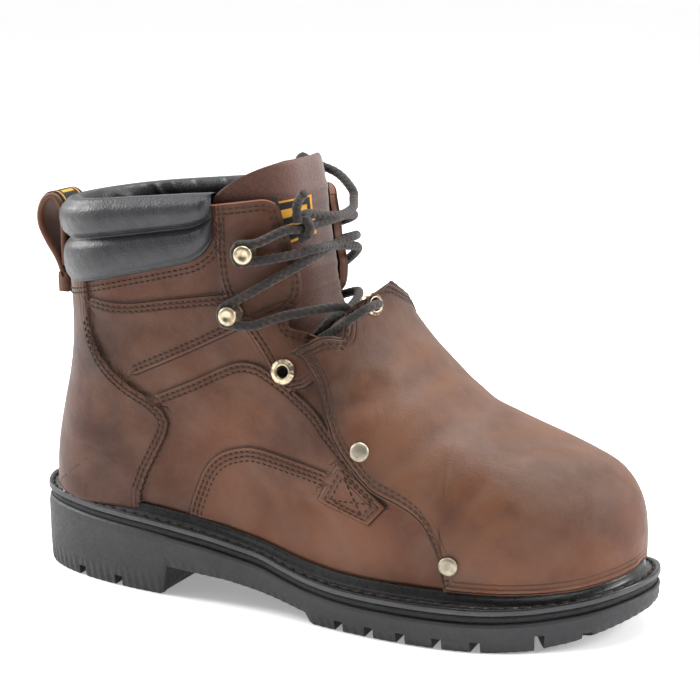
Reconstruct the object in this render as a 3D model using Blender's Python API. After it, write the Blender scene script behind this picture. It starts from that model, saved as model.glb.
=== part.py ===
# Metatarsal guard work boot, right foot: sole unit, hollow upper, overlays, guard flap, tongue, collar, lace.
# Frame: +X to the toe, +Y to the medial side, +Z up, metres. The origin lies on the floor under the heel.
import math

import bmesh
import bpy
import numpy as np
from mathutils import Vector

# Named sizes, metres
LENGTH = 0.312          # outsole, back of the heel to the toe
BALL = 0.115            # welt, across the ball
HEEL_RISE = 0.038       # floor to the welt's top at the heel
SHAFT = 0.190           # floor to the front of the topline
WALL = 0.0022           # upper leather
GAP = 0.0003            # between pieces that touch
WELT_T = 0.0028
WELT_RIB = 0.0045       # storm rib above the welt
MIDSOLE_T = 0.0034
MIDSOLE_INSET = 0.0011
INSOLE_T = 0.0030
MARGIN = 0.0070         # upper's edge turned in under the foot
TONGUE_T = 0.0036
TONGUE_DROP = 0.0021    # tongue under the upper, clear of the eyelets
OVERLAY_T = 0.0016      # counter, facings, side tabs
GUARD_T = 0.0032
COLLAR_PAD = 0.0052     # height of a collar puff
LUG_DEPTH = 0.0050
LUG_GAP = 0.0044
EYELET_R = 0.0059
EYELET_HOLE = 0.0028
HOOK_R = 0.0044
HOOK_NECK = 0.0081      # room for the lace under the hook's cap
RIVET_R = 0.0043
LACE_R = 0.0020
LOOP_W = 0.0230
LOOP_T = 0.0024

# Mesh steps
RING = 12               # points from ridge to feather edge, one side
OUTLINE_N = 66          # points round the sole and the welt

# The origin, as a share of the length: middle of the heel's flat
ORIGIN_X = 0.14

# Upper sections, front to back. Columns: bottom x, rise over the seat, ridge x, ridge z, lateral and medial
# half widths, share of the height where the top starts to close, roundness of the top, width at that height.
# x in percent of LENGTH, rise and z in percent of SHAFT, widths in percent of BALL.
SECTIONS = (
    (96.3, 0.0, 96.6, 24.2, 41.3, 37.8, 0.34, 2.20, 1.02),
    (95.5, 0.0, 95.8, 31.6, 41.3, 37.8, 0.34, 2.20, 1.02),
    (92.9, 0.0, 92.8, 37.6, 41.3, 37.8, 0.34, 2.25, 1.02),
    (89.1, 0.0, 88.5, 40.8, 41.3, 37.8, 0.34, 2.30, 1.02),
    (84.0, 0.0, 83.0, 43.9, 41.3, 37.8, 0.34, 2.30, 1.02),
    (77.9, 0.0, 76.9, 47.4, 41.3, 37.8, 0.34, 2.30, 1.02),
    (71.2, 0.0, 70.5, 51.1, 41.3, 37.8, 0.34, 2.30, 1.02),
    (64.1, 0.0, 65.1, 55.3, 40.9, 37.4, 0.34, 2.35, 1.02),
    (57.1, 0.0, 60.3, 59.5, 39.1, 34.8, 0.36, 2.50, 1.01),
    (49.7, 0.0, 56.7, 63.2, 36.1, 32.2, 0.40, 2.75, 1.01),
    (41.7, 0.0, 54.2, 66.3, 33.9, 30.0, 0.44, 3.00, 1.01),
    (33.7, 0.0, 52.7, 68.4, 32.6, 29.3, 0.47, 3.20, 1.01),
    (25.6, 0.0, 51.9, 70.0, 32.2, 29.4, 0.49, 3.30, 1.01),
    (18.6, 0.0, 51.3, 71.6, 31.8, 29.8, 0.50, 3.30, 1.00),
    (12.8, 0.0, 51.0, 73.2, 31.7, 30.0, 0.50, 3.30, 1.00),
    (8.7, 0.0, 50.6, 74.7, 31.7, 30.0, 0.50, 3.30, 1.00),
    (5.8, 0.0, 50.5, 76.1, 31.7, 30.0, 0.50, 3.30, 1.00),
    (4.1, 0.0, 50.3, 77.4, 31.7, 30.0, 0.50, 3.30, 1.00),
    (3.5, 0.0, 50.2, 78.4, 31.7, 30.0, 0.50, 3.30, 1.00),
    (3.4, 4.2, 50.0, 79.7, 31.7, 30.4, 0.50, 3.30, 1.00),
    (3.5, 9.5, 49.8, 81.3, 31.7, 30.9, 0.50, 3.30, 1.00),
    (4.0, 15.8, 49.7, 83.2, 31.7, 31.3, 0.50, 3.30, 1.00),
    (5.0, 23.7, 49.4, 85.5, 31.7, 31.3, 0.50, 3.30, 1.00),
    (6.1, 31.6, 49.0, 88.2, 31.7, 31.3, 0.50, 3.30, 1.00),
    (6.9, 40.0, 48.7, 91.1, 32.2, 31.7, 0.50, 3.30, 1.00),
    (7.1, 48.4, 48.4, 93.7, 32.6, 32.6, 0.50, 3.30, 1.00),
    (6.9, 56.8, 48.1, 96.3, 33.0, 33.0, 0.50, 3.30, 1.00),
    (6.7, 65.3, 47.9, 98.9, 33.5, 33.5, 0.50, 3.30, 1.00),
    (6.6, 72.1, 47.8, 101.1, 33.9, 33.9, 0.50, 3.30, 1.00),
    (6.4, 78.4, 47.3, 104.2, 33.9, 33.9, 0.50, 3.30, 1.00),
    (6.4, 85.8, 46.5, 109.5, 33.9, 33.9, 0.50, 3.30, 1.00),
)
CORNER = 18             # section at the back of the seat
TOPLINE = 28.0          # section where the upper ends

# Welt outline, lateral side to the toe and back on the medial side: x percent of LENGTH, y percent of BALL
OUTLINE = (
    (0.0, 0.0), (1.0, -10.4), (3.2, -19.6), (7.1, -27.0),
    (12.8, -33.0), (18.6, -36.5), (23.7, -38.3), (28.8, -39.1),
    (33.7, -39.1), (38.5, -38.9), (43.3, -39.3), (48.1, -41.7),
    (52.9, -44.8), (58.3, -47.6), (64.1, -49.4), (69.9, -50.0),
    (75.3, -49.2), (80.1, -46.6), (85.6, -40.9), (90.7, -32.2),
    (94.9, -24.0), (97.9, -14.0), (99.5, -4.5), (100.0, 4.5),
    (99.5, 13.5), (97.9, 22.5), (94.9, 31.2), (90.7, 38.0),
    (85.6, 43.0), (80.1, 46.2), (75.3, 47.6), (69.9, 47.7),
    (64.1, 46.1), (58.3, 43.5), (52.9, 40.0), (48.1, 36.8),
    (43.3, 34.2), (38.5, 32.9), (33.7, 32.9), (28.8, 33.9),
    (23.7, 34.6), (18.6, 33.9), (12.8, 31.3), (7.1, 26.1),
    (3.2, 19.1), (1.0, 10.4),
)
# Welt's top line along the boot: x percent of LENGTH, z percent of HEEL_RISE
SEAT = (
    (0.0, 107.9), (4.5, 106.1), (12.8, 102.6), (23.7, 98.2), (33.7, 89.5), (39.4, 81.6), (44.6, 73.7),
    (48.7, 64.7), (53.5, 57.4), (58.3, 53.7), (64.1, 52.6), (69.9, 52.6), (79.5, 53.2), (85.9, 55.8),
    (91.3, 60.5), (95.5, 67.4), (98.4, 73.2), (100.0, 76.3),
)
# Outsole's underside: x percent of LENGTH, z percent of HEEL_RISE
GROUND = (
    (0.0, 3.0), (2.6, 0.0), (27.4, 0.0), (27.9, 37.0), (38.0, 31.0), (47.4, 19.5), (52.5, 12.0), (53.2, 0.0),
    (81.5, 0.0), (87.0, 3.0), (91.5, 10.5), (95.5, 21.5), (98.5, 31.0), (100.0, 36.5),
)
# Throat's half width by section, percent of BALL
THROAT = ((8.05, 0.0), (8.3, 7.0), (8.9, 13.5), (9.8, 18.0), (11.0, 21.5), (14.0, 25.0), (20.0, 27.2), (28.0, 27.2))


def remove_everything():
    for item in list(bpy.data.objects):
        bpy.data.objects.remove(item, do_unlink=True)


def curve(knots, at):
    """Cubic through the knots (first column is the place), flat-ended, for one place or an array of them."""
    table = np.asarray(knots, float)
    x = table[:, 0]
    y = table[:, 1:]
    step = np.diff(x)[:, None]
    slope = np.diff(y, axis=0) / step
    tangent = np.zeros_like(y)
    rising = slope[:-1] * slope[1:]
    tangent[1:-1] = np.where(rising > 0, 2 * rising / (slope[:-1] + slope[1:] + 1e-30), 0)
    tangent[0] = slope[0]
    tangent[-1] = slope[-1]
    at = np.clip(np.asarray(at, float), x[0], x[-1])
    i = np.clip(np.searchsorted(x, at, side="right") - 1, 0, len(x) - 2)
    h = step[i]
    t = ((at - x[i]) / step[i, 0])[..., None]
    found = (
        y[i] * (1 + 2 * t) * (1 - t) ** 2
        + tangent[i] * h * t * (1 - t) ** 2
        + y[i + 1] * t * t * (3 - 2 * t)
        - tangent[i + 1] * h * t * t * (1 - t)
    )
    return found[..., 0] if found.shape[-1] == 1 else found


def ground_line(x):
    table = np.asarray(GROUND)
    return np.interp(x / LENGTH * 100, table[:, 0], table[:, 1]) * HEEL_RISE / 100


def welt_line(x):
    return curve(SEAT, np.asarray(x) / LENGTH * 100) * HEEL_RISE / 100


def between(a, b, c, d, t):
    """Smooth point between b and c, with a before them and d after."""
    return 0.5 * (2 * b + (c - a) * t + (2 * a - 5 * b + 4 * c - d) * t**2 + (3 * b - a - 3 * c + d) * t**3)


def closed_outline(count):
    """The welt's outline as evenly spaced points with unit normals outwards."""
    knots = np.asarray(OUTLINE) * (LENGTH / 100, BALL / 100)
    fine = []
    total = len(knots)
    for i in range(total):
        a, b, c, d = (knots[(i + k - 1) % total] for k in range(4))
        for t in np.arange(0, 1, 0.05):
            fine.append(between(a, b, c, d, t))
    fine = np.asarray(fine)
    loop = np.vstack([fine, fine[:1]])
    reach = np.concatenate([[0], np.cumsum(np.linalg.norm(np.diff(loop, axis=0), axis=1))])
    at = np.linspace(0, reach[-1], count, endpoint=False)
    points = np.stack([np.interp(at, reach, loop[:, k]) for k in (0, 1)], axis=1)
    ahead = np.roll(points, -1, axis=0) - np.roll(points, 1, axis=0)
    normals = np.stack([ahead[:, 1], -ahead[:, 0]], axis=1)
    return points, normals / np.linalg.norm(normals, axis=1)[:, None]


def section_row(s):
    """Every column of SECTIONS at section s, smooth between rows."""
    table = np.asarray(SECTIONS, float)
    first = table[1].copy()
    table = np.vstack([first, table, 2 * table[-1] - table[-2]])
    s = np.clip(np.asarray(s, float), 0, len(SECTIONS) - 1)
    i = np.minimum(s.astype(int), len(SECTIONS) - 2)
    t = (s - i)[..., None]
    return between(*(table[i + k] for k in range(4)), t)


def nose(distance, radius, power=2.0):
    """1 along the side, round to 0 where the outline closes."""
    t = np.clip(distance / radius, 0, 1)
    return np.clip(1 - (1 - t) ** power, 0, 1) ** (1 / power)


FINE_S = np.concatenate([
    np.linspace(0, 4, 60) ** 2 / 4, np.linspace(4, 16, 97)[1:], np.linspace(16, 20, 49)[1:],
    np.linspace(20, 30, 81)[1:],
])
FINE_H = 90
FINE_J = 72


def build_form():
    """Points and outward normals of the upper on a fine grid: sections by places round the ring.

    Place -1 is the lateral feather edge, 0 the ridge, 1 the medial feather edge.
    """
    rows = section_row(FINE_S)
    corner = section_row(CORNER)
    bx = rows[:, 0] * LENGTH / 100
    seat = welt_line(bx) - WELT_T
    bz = seat + rows[:, 1] * SHAFT / 100
    tx = rows[:, 2] * LENGTH / 100
    tz = rows[:, 3] * SHAFT / 100
    toe = section_row(0.0)
    toe_x = toe[2] * LENGTH / 100
    low_toe_x = toe[0] * LENGTH / 100
    toe_z = toe[3] * SHAFT / 100
    back = np.linspace(CORNER, len(SECTIONS) - 1, 400)
    back_rows = section_row(back)
    corner_x = corner[0] * LENGTH / 100
    back_x = back_rows[:, 0] * LENGTH / 100
    back_z = welt_line(back_x) - WELT_T + back_rows[:, 1] * SHAFT / 100
    share = (1 - np.cos(np.linspace(0, np.pi, FINE_H))) / 2
    points = np.zeros((len(FINE_S), 2 * FINE_J + 1, 3))
    for k in range(len(FINE_S)):
        h = 1 - share
        x = bx[k] + (tx[k] - bx[k]) * h
        z = bz[k] + (tz[k] - bz[k]) * h
        middle = 0.0160 * BALL / 0.115 * np.clip((x / LENGTH - 0.6) / 0.4, 0, 1) ** 1.5 * 0.32
        hm = rows[k, 6]
        close = np.clip((h - hm) / (1 - hm), 0, 1)
        top = (1 - close ** rows[k, 7]) ** (1 / rows[k, 7])
        swell = np.clip(h / hm, 0, 1)
        side = 1 + (rows[k, 8] - 1) * (3 * swell**2 - 2 * swell**3)
        height = math.hypot(tx[k] - bx[k], tz[k] - bz[k]) * h
        fade = np.clip((CORNER - FINE_S[k]) / 5, 0, 1)
        tuck = 1 - 0.035 * fade * np.clip(1 - height / 0.006, 0, 1) ** 2
        front = low_toe_x + (toe_x - low_toe_x) * np.clip(z / toe_z, 0, 1)
        rear = np.interp(z, back_z, back_x, left=corner_x)
        ends = nose(np.clip(front - x, 0, None), 0.235 * LENGTH, 2.25)
        ends = ends * nose(np.clip(x - rear, 0, None), 0.118 * LENGTH)
        if FINE_S[k] == 0:
            ends = np.zeros_like(h)
        for side_sign, column in ((-1, 4), (1, 5)):
            wide = rows[k, column] * BALL / 100 * top * side * tuck * ends
            if FINE_S[k] >= CORNER:
                wide[-1] = 0.0
            line = np.stack([x, middle + side_sign * wide, z], axis=1)
            reach = np.concatenate([[0], np.cumsum(np.linalg.norm(np.diff(line, axis=0), axis=1))])
            at = np.linspace(0, reach[-1], FINE_J + 1)
            even = np.stack([np.interp(at, reach, line[:, c]) for c in range(3)], axis=1)
            if side_sign < 0:
                points[k, : FINE_J + 1] = even[::-1]
            else:
                points[k, FINE_J:] = even
    along = np.gradient(points, FINE_S, axis=0)
    around = np.gradient(points, axis=1)
    normals = np.cross(around, along)
    size = np.linalg.norm(normals, axis=2)
    normals /= np.maximum(size, 1e-12)[..., None]
    # At the toe the two sides meet in one line that faces forward
    lean = np.clip(1 - FINE_S / 0.25, 0, 1)[:, None, None]
    normals = normals * (1 - lean) + np.array([1.0, 0.0, 0.15]) * lean
    # Across the back seam both sides face straight back
    for k in np.nonzero(FINE_S >= CORNER)[0]:
        mean = normals[k, 1] + normals[k, -2]
        normals[k, 0] = mean
        normals[k, -1] = mean
    normals /= np.linalg.norm(normals, axis=2)[..., None]
    return points, normals


def on_form(s, f, off=0.0):
    """Points of the upper's outside at section s and place f, moved off it along the normal."""
    s, f, off = np.broadcast_arrays(np.asarray(s, float), np.asarray(f, float), np.asarray(off, float))
    i = np.interp(s, FINE_S, np.arange(len(FINE_S)))
    j = (np.clip(f, -1, 1) + 1) * FINE_J
    i0 = np.minimum(i.astype(int), len(FINE_S) - 2)
    j0 = np.minimum(j.astype(int), 2 * FINE_J - 1)
    u = (i - i0)[..., None]
    v = (j - j0)[..., None]
    found = []
    for grid in (FORM, NORMALS):
        found.append(
            (grid[i0, j0] * (1 - v) + grid[i0, j0 + 1] * v) * (1 - u)
            + (grid[i0 + 1, j0] * (1 - v) + grid[i0 + 1, j0 + 1] * v) * u
        )
    normal = found[1] / np.maximum(np.linalg.norm(found[1], axis=-1), 1e-9)[..., None]
    return found[0] + normal * off[..., None]


def place_at(x, z, side):
    """Section and place where the upper's side passes the side-view point (shares of LENGTH and SHAFT)."""
    half = FORM[:, :FINE_J + 1] if side < 0 else FORM[:, FINE_J:]
    away = (half[..., 0] - x * LENGTH) ** 2 + (half[..., 2] - z * SHAFT) ** 2
    i, j = np.unravel_index(np.argmin(away), away.shape)
    f = j / FINE_J - 1 if side < 0 else j / FINE_J
    s = FINE_S[i]
    for size in (0.15, 0.03):
        for _ in range(6):
            trial_s = s + np.array([-1, 0, 1])[:, None] * size
            trial_f = f + np.array([-1, 0, 1])[None, :] * size * 0.1
            trial_s, trial_f = np.broadcast_arrays(np.clip(trial_s, 0, 30), trial_f)
            low, high = (-1, 0) if side < 0 else (0, 1)
            p = on_form(trial_s, np.clip(trial_f, low, high))
            away = (p[..., 0] - x * LENGTH) ** 2 + (p[..., 2] - z * SHAFT) ** 2
            a, b = np.unravel_index(np.argmin(away), away.shape)
            s, f = trial_s[a, b], np.clip(trial_f[a, b], low, high)
    return float(s), float(f)


def throat_edge(s, side, more=0.0):
    """Place of the throat's edge at section s, or that far outside it along the surface."""
    half = curve(THROAT, s) * BALL / 100
    i = int(round(float(np.interp(s, FINE_S, np.arange(len(FINE_S))))))
    ring = FORM[i, :FINE_J + 1][::-1] if side < 0 else FORM[i, FINE_J:]
    middle = ring[0, 1]
    width = np.abs(ring[:, 1] - middle)
    top = int(np.argmax(width))
    place = float(np.interp(half, width[: top + 1], np.arange(top + 1) / FINE_J))
    girth = float(np.sum(np.linalg.norm(np.diff(ring, axis=0), axis=1)))
    return side * (place + more / girth)


def material(name, colour, rough=0.6, metal=0.0):
    made = bpy.data.materials.new(name)
    made.use_nodes = True
    shader = made.node_tree.nodes["Principled BSDF"]
    shader.inputs["Base Color"].default_value = (*colour, 1)
    shader.inputs["Roughness"].default_value = rough
    shader.inputs["Metallic"].default_value = metal
    return made


def add_mesh(name, points, faces, look, smooth=True):
    """One closed body from points and faces; close points become one and the faces are turned outwards."""
    mesh = bpy.data.meshes.new(name)
    moved = [(float(p[0]) - ORIGIN_X * LENGTH, float(p[1]), float(p[2])) for p in points]
    mesh.from_pydata(moved, [], [list(face) for face in faces])
    made = bmesh.new()
    made.from_mesh(mesh)
    bmesh.ops.remove_doubles(made, verts=made.verts, dist=0.00002)
    bmesh.ops.dissolve_degenerate(made, edges=made.edges, dist=0.00002)
    bmesh.ops.recalc_face_normals(made, faces=made.faces)
    made.to_mesh(mesh)
    made.free()
    mesh.validate()
    item = bpy.data.objects.new(name, mesh)
    bpy.context.scene.collection.objects.link(item)
    item.data.materials.append(look)
    for polygon in mesh.polygons:
        polygon.use_smooth = smooth
    return item


def shell(rows_out, rows_in, wrap=False, folded=False):
    """Points and faces of a sheet with thickness: two grids of one shape and a rim; folded: row 0 meets itself."""
    count, across = rows_out.shape[:2]
    points = np.concatenate([rows_out.reshape(-1, 3), rows_in.reshape(-1, 3)])
    base = count * across
    faces = []
    last = count if wrap else count - 1
    for i in range(last):
        n = (i + 1) % count
        for j in range(across - 1):
            a, b, c, d = i * across + j, n * across + j, n * across + j + 1, i * across + j + 1
            faces.append((a, b, c, d))
            faces.append((a + base, d + base, c + base, b + base))
    for i in range(last):
        n = (i + 1) % count
        for j in (0, across - 1):
            a, b = i * across + j, n * across + j
            faces.append((a, a + base, b + base, b))
    if not wrap:
        for i in (count - 1,) if folded else (0, count - 1):
            for j in range(across - 1):
                a, b = i * across + j, i * across + j + 1
                faces.append((a, b, b + base, a + base))
    return points, faces


def patch(edge_a, edge_b, across, low, high):
    """A sheet laid on the upper between two edges of (section, place) points."""
    edge_a = np.asarray(edge_a)
    edge_b = np.asarray(edge_b)
    t = np.linspace(0, 1, across)[None, :, None]
    grid = edge_a[:, None, :] * (1 - t) + edge_b[:, None, :] * t
    outer = on_form(grid[..., 0], grid[..., 1], high)
    inner = on_form(grid[..., 0], grid[..., 1], low)
    return shell(outer, inner)


def edge_through(knots, count, side):
    """Evenly spaced (section, place) points along a smooth side-view line."""
    knots = np.asarray(knots, float)
    reach = np.concatenate([[0], np.cumsum(np.linalg.norm(np.diff(knots * (LENGTH, SHAFT), axis=0), axis=1))])
    line = curve(np.column_stack([reach, knots]), np.linspace(0, reach[-1], count))
    return [place_at(x, z, side) for x, z in line]


def lathe(profile, sides=20):
    """Points and faces of a closed profile (radius, height) turned round +Z."""
    points = []
    for k in range(sides):
        angle = 2 * math.pi * k / sides
        points += [(r * math.cos(angle), r * math.sin(angle), h) for r, h in profile]
    n = len(profile)
    faces = []
    for k in range(sides):
        m = (k + 1) % sides
        for i in range(n):
            j = (i + 1) % n
            faces.append((k * n + i, m * n + i, m * n + j, k * n + j))
    return np.asarray(points), faces


def solid_lathe(profile, sides=20):
    """The same for a profile that starts and ends on the axis."""
    points = [(0, 0, profile[0][1])]
    ring = profile[1:-1]
    for k in range(sides):
        angle = 2 * math.pi * k / sides
        points += [(r * math.cos(angle), r * math.sin(angle), h) for r, h in ring]
    points.append((0, 0, profile[-1][1]))
    n = len(ring)
    top = len(points) - 1
    faces = []
    for k in range(sides):
        m = (k + 1) % sides
        faces.append((0, 1 + m * n, 1 + k * n))
        for i in range(n - 1):
            faces.append((1 + k * n + i, 1 + m * n + i, 1 + m * n + i + 1, 1 + k * n + i + 1))
        faces.append((1 + k * n + n - 1, 1 + m * n + n - 1, top))
    return np.asarray(points, float), faces


def stand(points, foot, normal):
    """Turn a lathe's +Z to the normal and set it at its foot."""
    turn = Vector(normal).to_track_quat("Z", "Y").to_matrix()
    return np.asarray([np.asarray(turn @ Vector(p)) + foot for p in points])


def spot(surface, s, f):
    """Foot and normal on a surface function of section and place."""
    foot = surface(s, f)
    u = surface(s + 0.05, f) - surface(s - 0.05, f)
    v = surface(s, f + 0.01) - surface(s, f - 0.01)
    normal = np.cross(v, u)
    return foot, normal / np.linalg.norm(normal)


def boolean(item, other, operation):
    change = item.modifiers.new(operation.lower(), "BOOLEAN")
    change.operation = operation
    change.solver = "EXACT"
    change.object = other
    other.hide_render = True
    other.display_type = "WIRE"


def tube_points(route, radius, sides=10):
    """Closed tube along a route."""
    route = np.asarray(route, float)
    points = []
    previous = None
    for k in range(len(route)):
        ahead = route[min(k + 1, len(route) - 1)] - route[max(k - 1, 0)]
        ahead /= np.linalg.norm(ahead)
        if previous is None:
            helper = np.array([0, 0, 1.0]) if abs(ahead[2]) < 0.9 else np.array([1.0, 0, 0])
            previous = np.cross(ahead, helper)
        across = previous - ahead * np.dot(previous, ahead)
        across /= np.linalg.norm(across)
        previous = across
        up = np.cross(ahead, across)
        for m in range(sides):
            angle = 2 * math.pi * m / sides
            points.append(route[k] + radius * (across * math.cos(angle) + up * math.sin(angle)))
    faces = []
    for k in range(len(route) - 1):
        for m in range(sides):
            n = (m + 1) % sides
            faces.append((k * sides + m, k * sides + n, (k + 1) * sides + n, (k + 1) * sides + m))
    faces.append(tuple(range(sides))[::-1])
    faces.append(tuple(range((len(route) - 1) * sides, len(route) * sides)))
    return np.asarray(points), faces


def smooth_route(knots, count):
    knots = np.asarray(knots, float)
    table = np.vstack([2 * knots[0] - knots[1], knots, 2 * knots[-1] - knots[-2]])
    at = np.linspace(0, len(knots) - 1, count)
    i = np.minimum(at.astype(int), len(knots) - 2)
    t = (at - i)[:, None]
    return between(*(table[i + k] for k in range(4)), t)


def layer(top, bottom, inset_top, inset_bottom, bands=1):
    """A plate over the whole outline between two height functions."""
    points, normals = closed_outline(OUTLINE_N)
    levels = np.linspace(0, 1, bands + 1)
    rings = []
    for t in levels:
        inset = inset_top * (1 - t) + inset_bottom * t
        xy = points - normals * inset
        z = top(points[:, 0]) * (1 - t) + bottom(points[:, 0]) * t
        rings.append(np.column_stack([xy, z]))
    return rings


def cap_rows(ring, height):
    """Rows of points across a ring, so that a curved cap follows its height function."""
    half = len(ring) // 2
    rows = []
    for k in range(1, half):
        a, b = ring[k], ring[len(ring) - k]
        rows.append([a + (b - a) * t for t in (0.33, 0.67)])
    for row in rows:
        for p in row:
            p[2] = height(p[0])
    return rows


def plate(name, rings, top, bottom, look, hole=None):
    """Stacked rings closed by two caps made of rows from side to side."""
    n = len(rings[0])
    points = [p for ring in rings for p in ring]
    faces = []
    for r in range(len(rings) - 1):
        for k in range(n):
            m = (k + 1) % n
            faces.append((r * n + k, r * n + m, (r + 1) * n + m, (r + 1) * n + k))
    for ring_at, height in ((0, top), (len(rings) - 1, bottom)):
        base = ring_at * n
        rows = cap_rows(rings[ring_at].copy(), height)
        start = len(points)
        for row in rows:
            points += row
        index = []
        for k in range(1, n // 2):
            index.append([base + k, start + 2 * (k - 1), start + 2 * (k - 1) + 1, base + n - k])
        for k in range(len(index) - 1):
            for c in range(3):
                faces.append((index[k][c], index[k + 1][c], index[k + 1][c + 1], index[k][c + 1]))
        first, last = index[0], index[-1]
        faces += [(base, first[0], first[1]), (base, first[1], first[2]), (base, first[2], first[3])]
        tip = base + n // 2
        faces += [(tip, last[1], last[0]), (tip, last[2], last[1]), (tip, last[3], last[2])]
    return add_mesh(name, points, faces, look)


def seat_curve(lift, clearance, count):
    """Plan line of the upper at a height over its seat, moved outwards by the clearance."""
    sections = np.concatenate([
        np.linspace(0, 2, 14) ** 1.5 / 2**0.5, np.linspace(2, CORNER, 90)[1:], np.linspace(CORNER, CORNER + 2, 81)[1:],
    ])
    found = {-1: [], 1: []}
    for side in (-1, 1):
        for s in sections:
            f = np.linspace(0, 1, 400) * side
            p = on_form(np.full_like(f, s), f)
            above = p[:, 2] - (welt_line(p[:, 0]) - WELT_T + lift)
            under = np.nonzero(above <= 0)[0]
            if len(under) == 0:
                continue
            found[side].append(p[under[0], :2])
    loop = np.vstack([found[-1][::-1], found[1]])
    keep = [0]
    for k in range(1, len(loop)):
        if np.linalg.norm(loop[k] - loop[keep[-1]]) > 0.0004:
            keep.append(k)
    loop = loop[keep]
    closed = np.vstack([loop, loop[:1]])
    reach = np.concatenate([[0], np.cumsum(np.linalg.norm(np.diff(closed, axis=0), axis=1))])
    at = np.linspace(0, reach[-1], count, endpoint=False)
    even = np.stack([np.interp(at, reach, closed[:, c]) for c in (0, 1)], axis=1)
    ahead = np.roll(even, -1, axis=0) - np.roll(even, 1, axis=0)
    normals = np.stack([ahead[:, 1], -ahead[:, 0]], axis=1)
    normals /= np.linalg.norm(normals, axis=1)[:, None]
    middle = even.mean(axis=0)
    if np.mean(np.sum(normals * (even - middle), axis=1)) < 0:
        normals = -normals
    return even + normals * clearance


def matched(outer, inner):
    """Turn and reorder the inner loop so that its points stand opposite the outer loop's."""
    area = 0.5 * np.sum(inner[:, 0] * np.roll(inner[:, 1], -1) - inner[:, 1] * np.roll(inner[:, 0], -1))
    area_out = 0.5 * np.sum(outer[:, 0] * np.roll(outer[:, 1], -1) - outer[:, 1] * np.roll(outer[:, 0], -1))
    if area * area_out < 0:
        inner = inner[::-1]
    start = int(np.argmin(np.linalg.norm(inner - outer[0], axis=1)))
    return np.roll(inner, -start, axis=0)


remove_everything()
FORM, NORMALS = build_form()

BROWN = material("brown_leather", (0.16, 0.075, 0.04), 0.6)
DARK = material("collar_leather", (0.03, 0.03, 0.032), 0.5)
SUEDE = material("tongue_suede", (0.13, 0.06, 0.04), 0.9)
RUBBER = material("sole_rubber", (0.035, 0.036, 0.038), 0.7)
MID = material("midsole_rubber", (0.06, 0.06, 0.062), 0.7)
WELTED = material("welt_rubber", (0.02, 0.02, 0.021), 0.4)
BOARD = material("insole_fabric", (0.05, 0.05, 0.05), 0.9)
BRASS = material("antique_brass", (0.55, 0.42, 0.22), 0.35, 1.0)
CORD = material("lace_fabric", (0.05, 0.035, 0.025), 0.9)


def mid_top(x):
    return welt_line(x) - WELT_T - GAP


def mid_bottom(x):
    return mid_top(x) - MIDSOLE_T


def sole_top(x):
    return mid_bottom(x) - GAP


def build_sole():
    plate("midsole", layer(mid_top, mid_bottom, MIDSOLE_INSET, MIDSOLE_INSET), mid_top, mid_bottom, MID)
    outline, normals = closed_outline(OUTLINE_N)
    count = OUTLINE_N
    rings = []
    for t, inset in ((0, 0.0006), (0.12, 0.0), (0.55, 0.0003), (1.0, 0.0012)):
        xy = outline - normals * inset
        low = ground_line(outline[:, 0])
        z = sole_top(outline[:, 0]) * (1 - t) + low * t
        rings.append(np.column_stack([xy, z]))
    sole = plate("outsole", rings, sole_top, ground_line, RUBBER)
    slots = [(x, -1) for x in (0.575, 0.625, 0.675, 0.73, 0.785, 0.11, 0.185)]
    slots += [(x, 1) for x in (0.56, 0.61, 0.66, 0.71, 0.765, 0.11, 0.185)]
    points, faces = [], []

    def box(a, b, wide, top):
        """A slot cutter from a to b in plan, down through the floor."""
        a = np.asarray(a, float)
        b = np.asarray(b, float)
        along = (b - a) / np.linalg.norm(b - a)
        side = np.array([-along[1], along[0]]) * wide / 2
        base = len(points)
        for z in (-0.004, top):
            for corner in (a - side, b - side, b + side, a + side):
                points.append((corner[0], corner[1], z))
        faces.extend([
            (base, base + 3, base + 2, base + 1), (base + 4, base + 5, base + 6, base + 7),
            (base, base + 1, base + 5, base + 4), (base + 1, base + 2, base + 6, base + 5),
            (base + 2, base + 3, base + 7, base + 6), (base + 3, base, base + 4, base + 7),
        ])

    for share, side in slots:
        x = share * LENGTH
        reach = 0.62 * BALL
        inner = 0.10 * BALL
        slant = 0.012 * LENGTH
        box((x, side * inner), (x + slant, side * reach), LUG_GAP, LUG_DEPTH)
    toe_centre = np.array([0.80 * LENGTH, 0.02 * BALL])
    for angle in (-62, -38, -14, 10, 34, 58):
        turn = math.radians(angle)
        heading = np.array([math.cos(turn), math.sin(turn)])
        near = toe_centre + heading * 0.07 * LENGTH
        box(near, toe_centre + heading * 0.32 * LENGTH, LUG_GAP, LUG_DEPTH + 0.0035)
    cutter = add_mesh("slot_cutter", points, faces, RUBBER, False)
    boolean(sole, cutter, "DIFFERENCE")


def build_welt():
    outline, normals = closed_outline(OUTLINE_N)
    low, level, high = (
        matched(outline, seat_curve(lift, 2.9 * GAP, OUTLINE_N))
        for lift in (0.0002, WELT_T, WELT_T + WELT_RIB)
    )
    # Share of the way to the upper, rise over the welt's top, and the upper's line at that height
    profile = (
        (0.0, -WELT_T, level), (0.0, 0.0, level), (0.62, 0.0, level), (0.74, WELT_RIB * 0.75, level),
        (0.86, WELT_RIB, high), (1.0, WELT_RIB * 0.85, high), (1.0, -WELT_T, low),
    )
    rings = []
    for share, rise, inner in profile:
        xy = outline + (inner - outline) * share
        z = welt_line(xy[:, 0]) + rise
        rings.append(np.column_stack([xy, z]))
    rows = np.stack(rings, axis=1)
    count, across = rows.shape[:2]
    faces = []
    for i in range(count):
        n = (i + 1) % count
        for j in range(across):
            m = (j + 1) % across
            faces.append((i * across + j, n * across + j, n * across + m, i * across + m))
    add_mesh("welt", rows.reshape(-1, 3), faces, WELTED)


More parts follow.
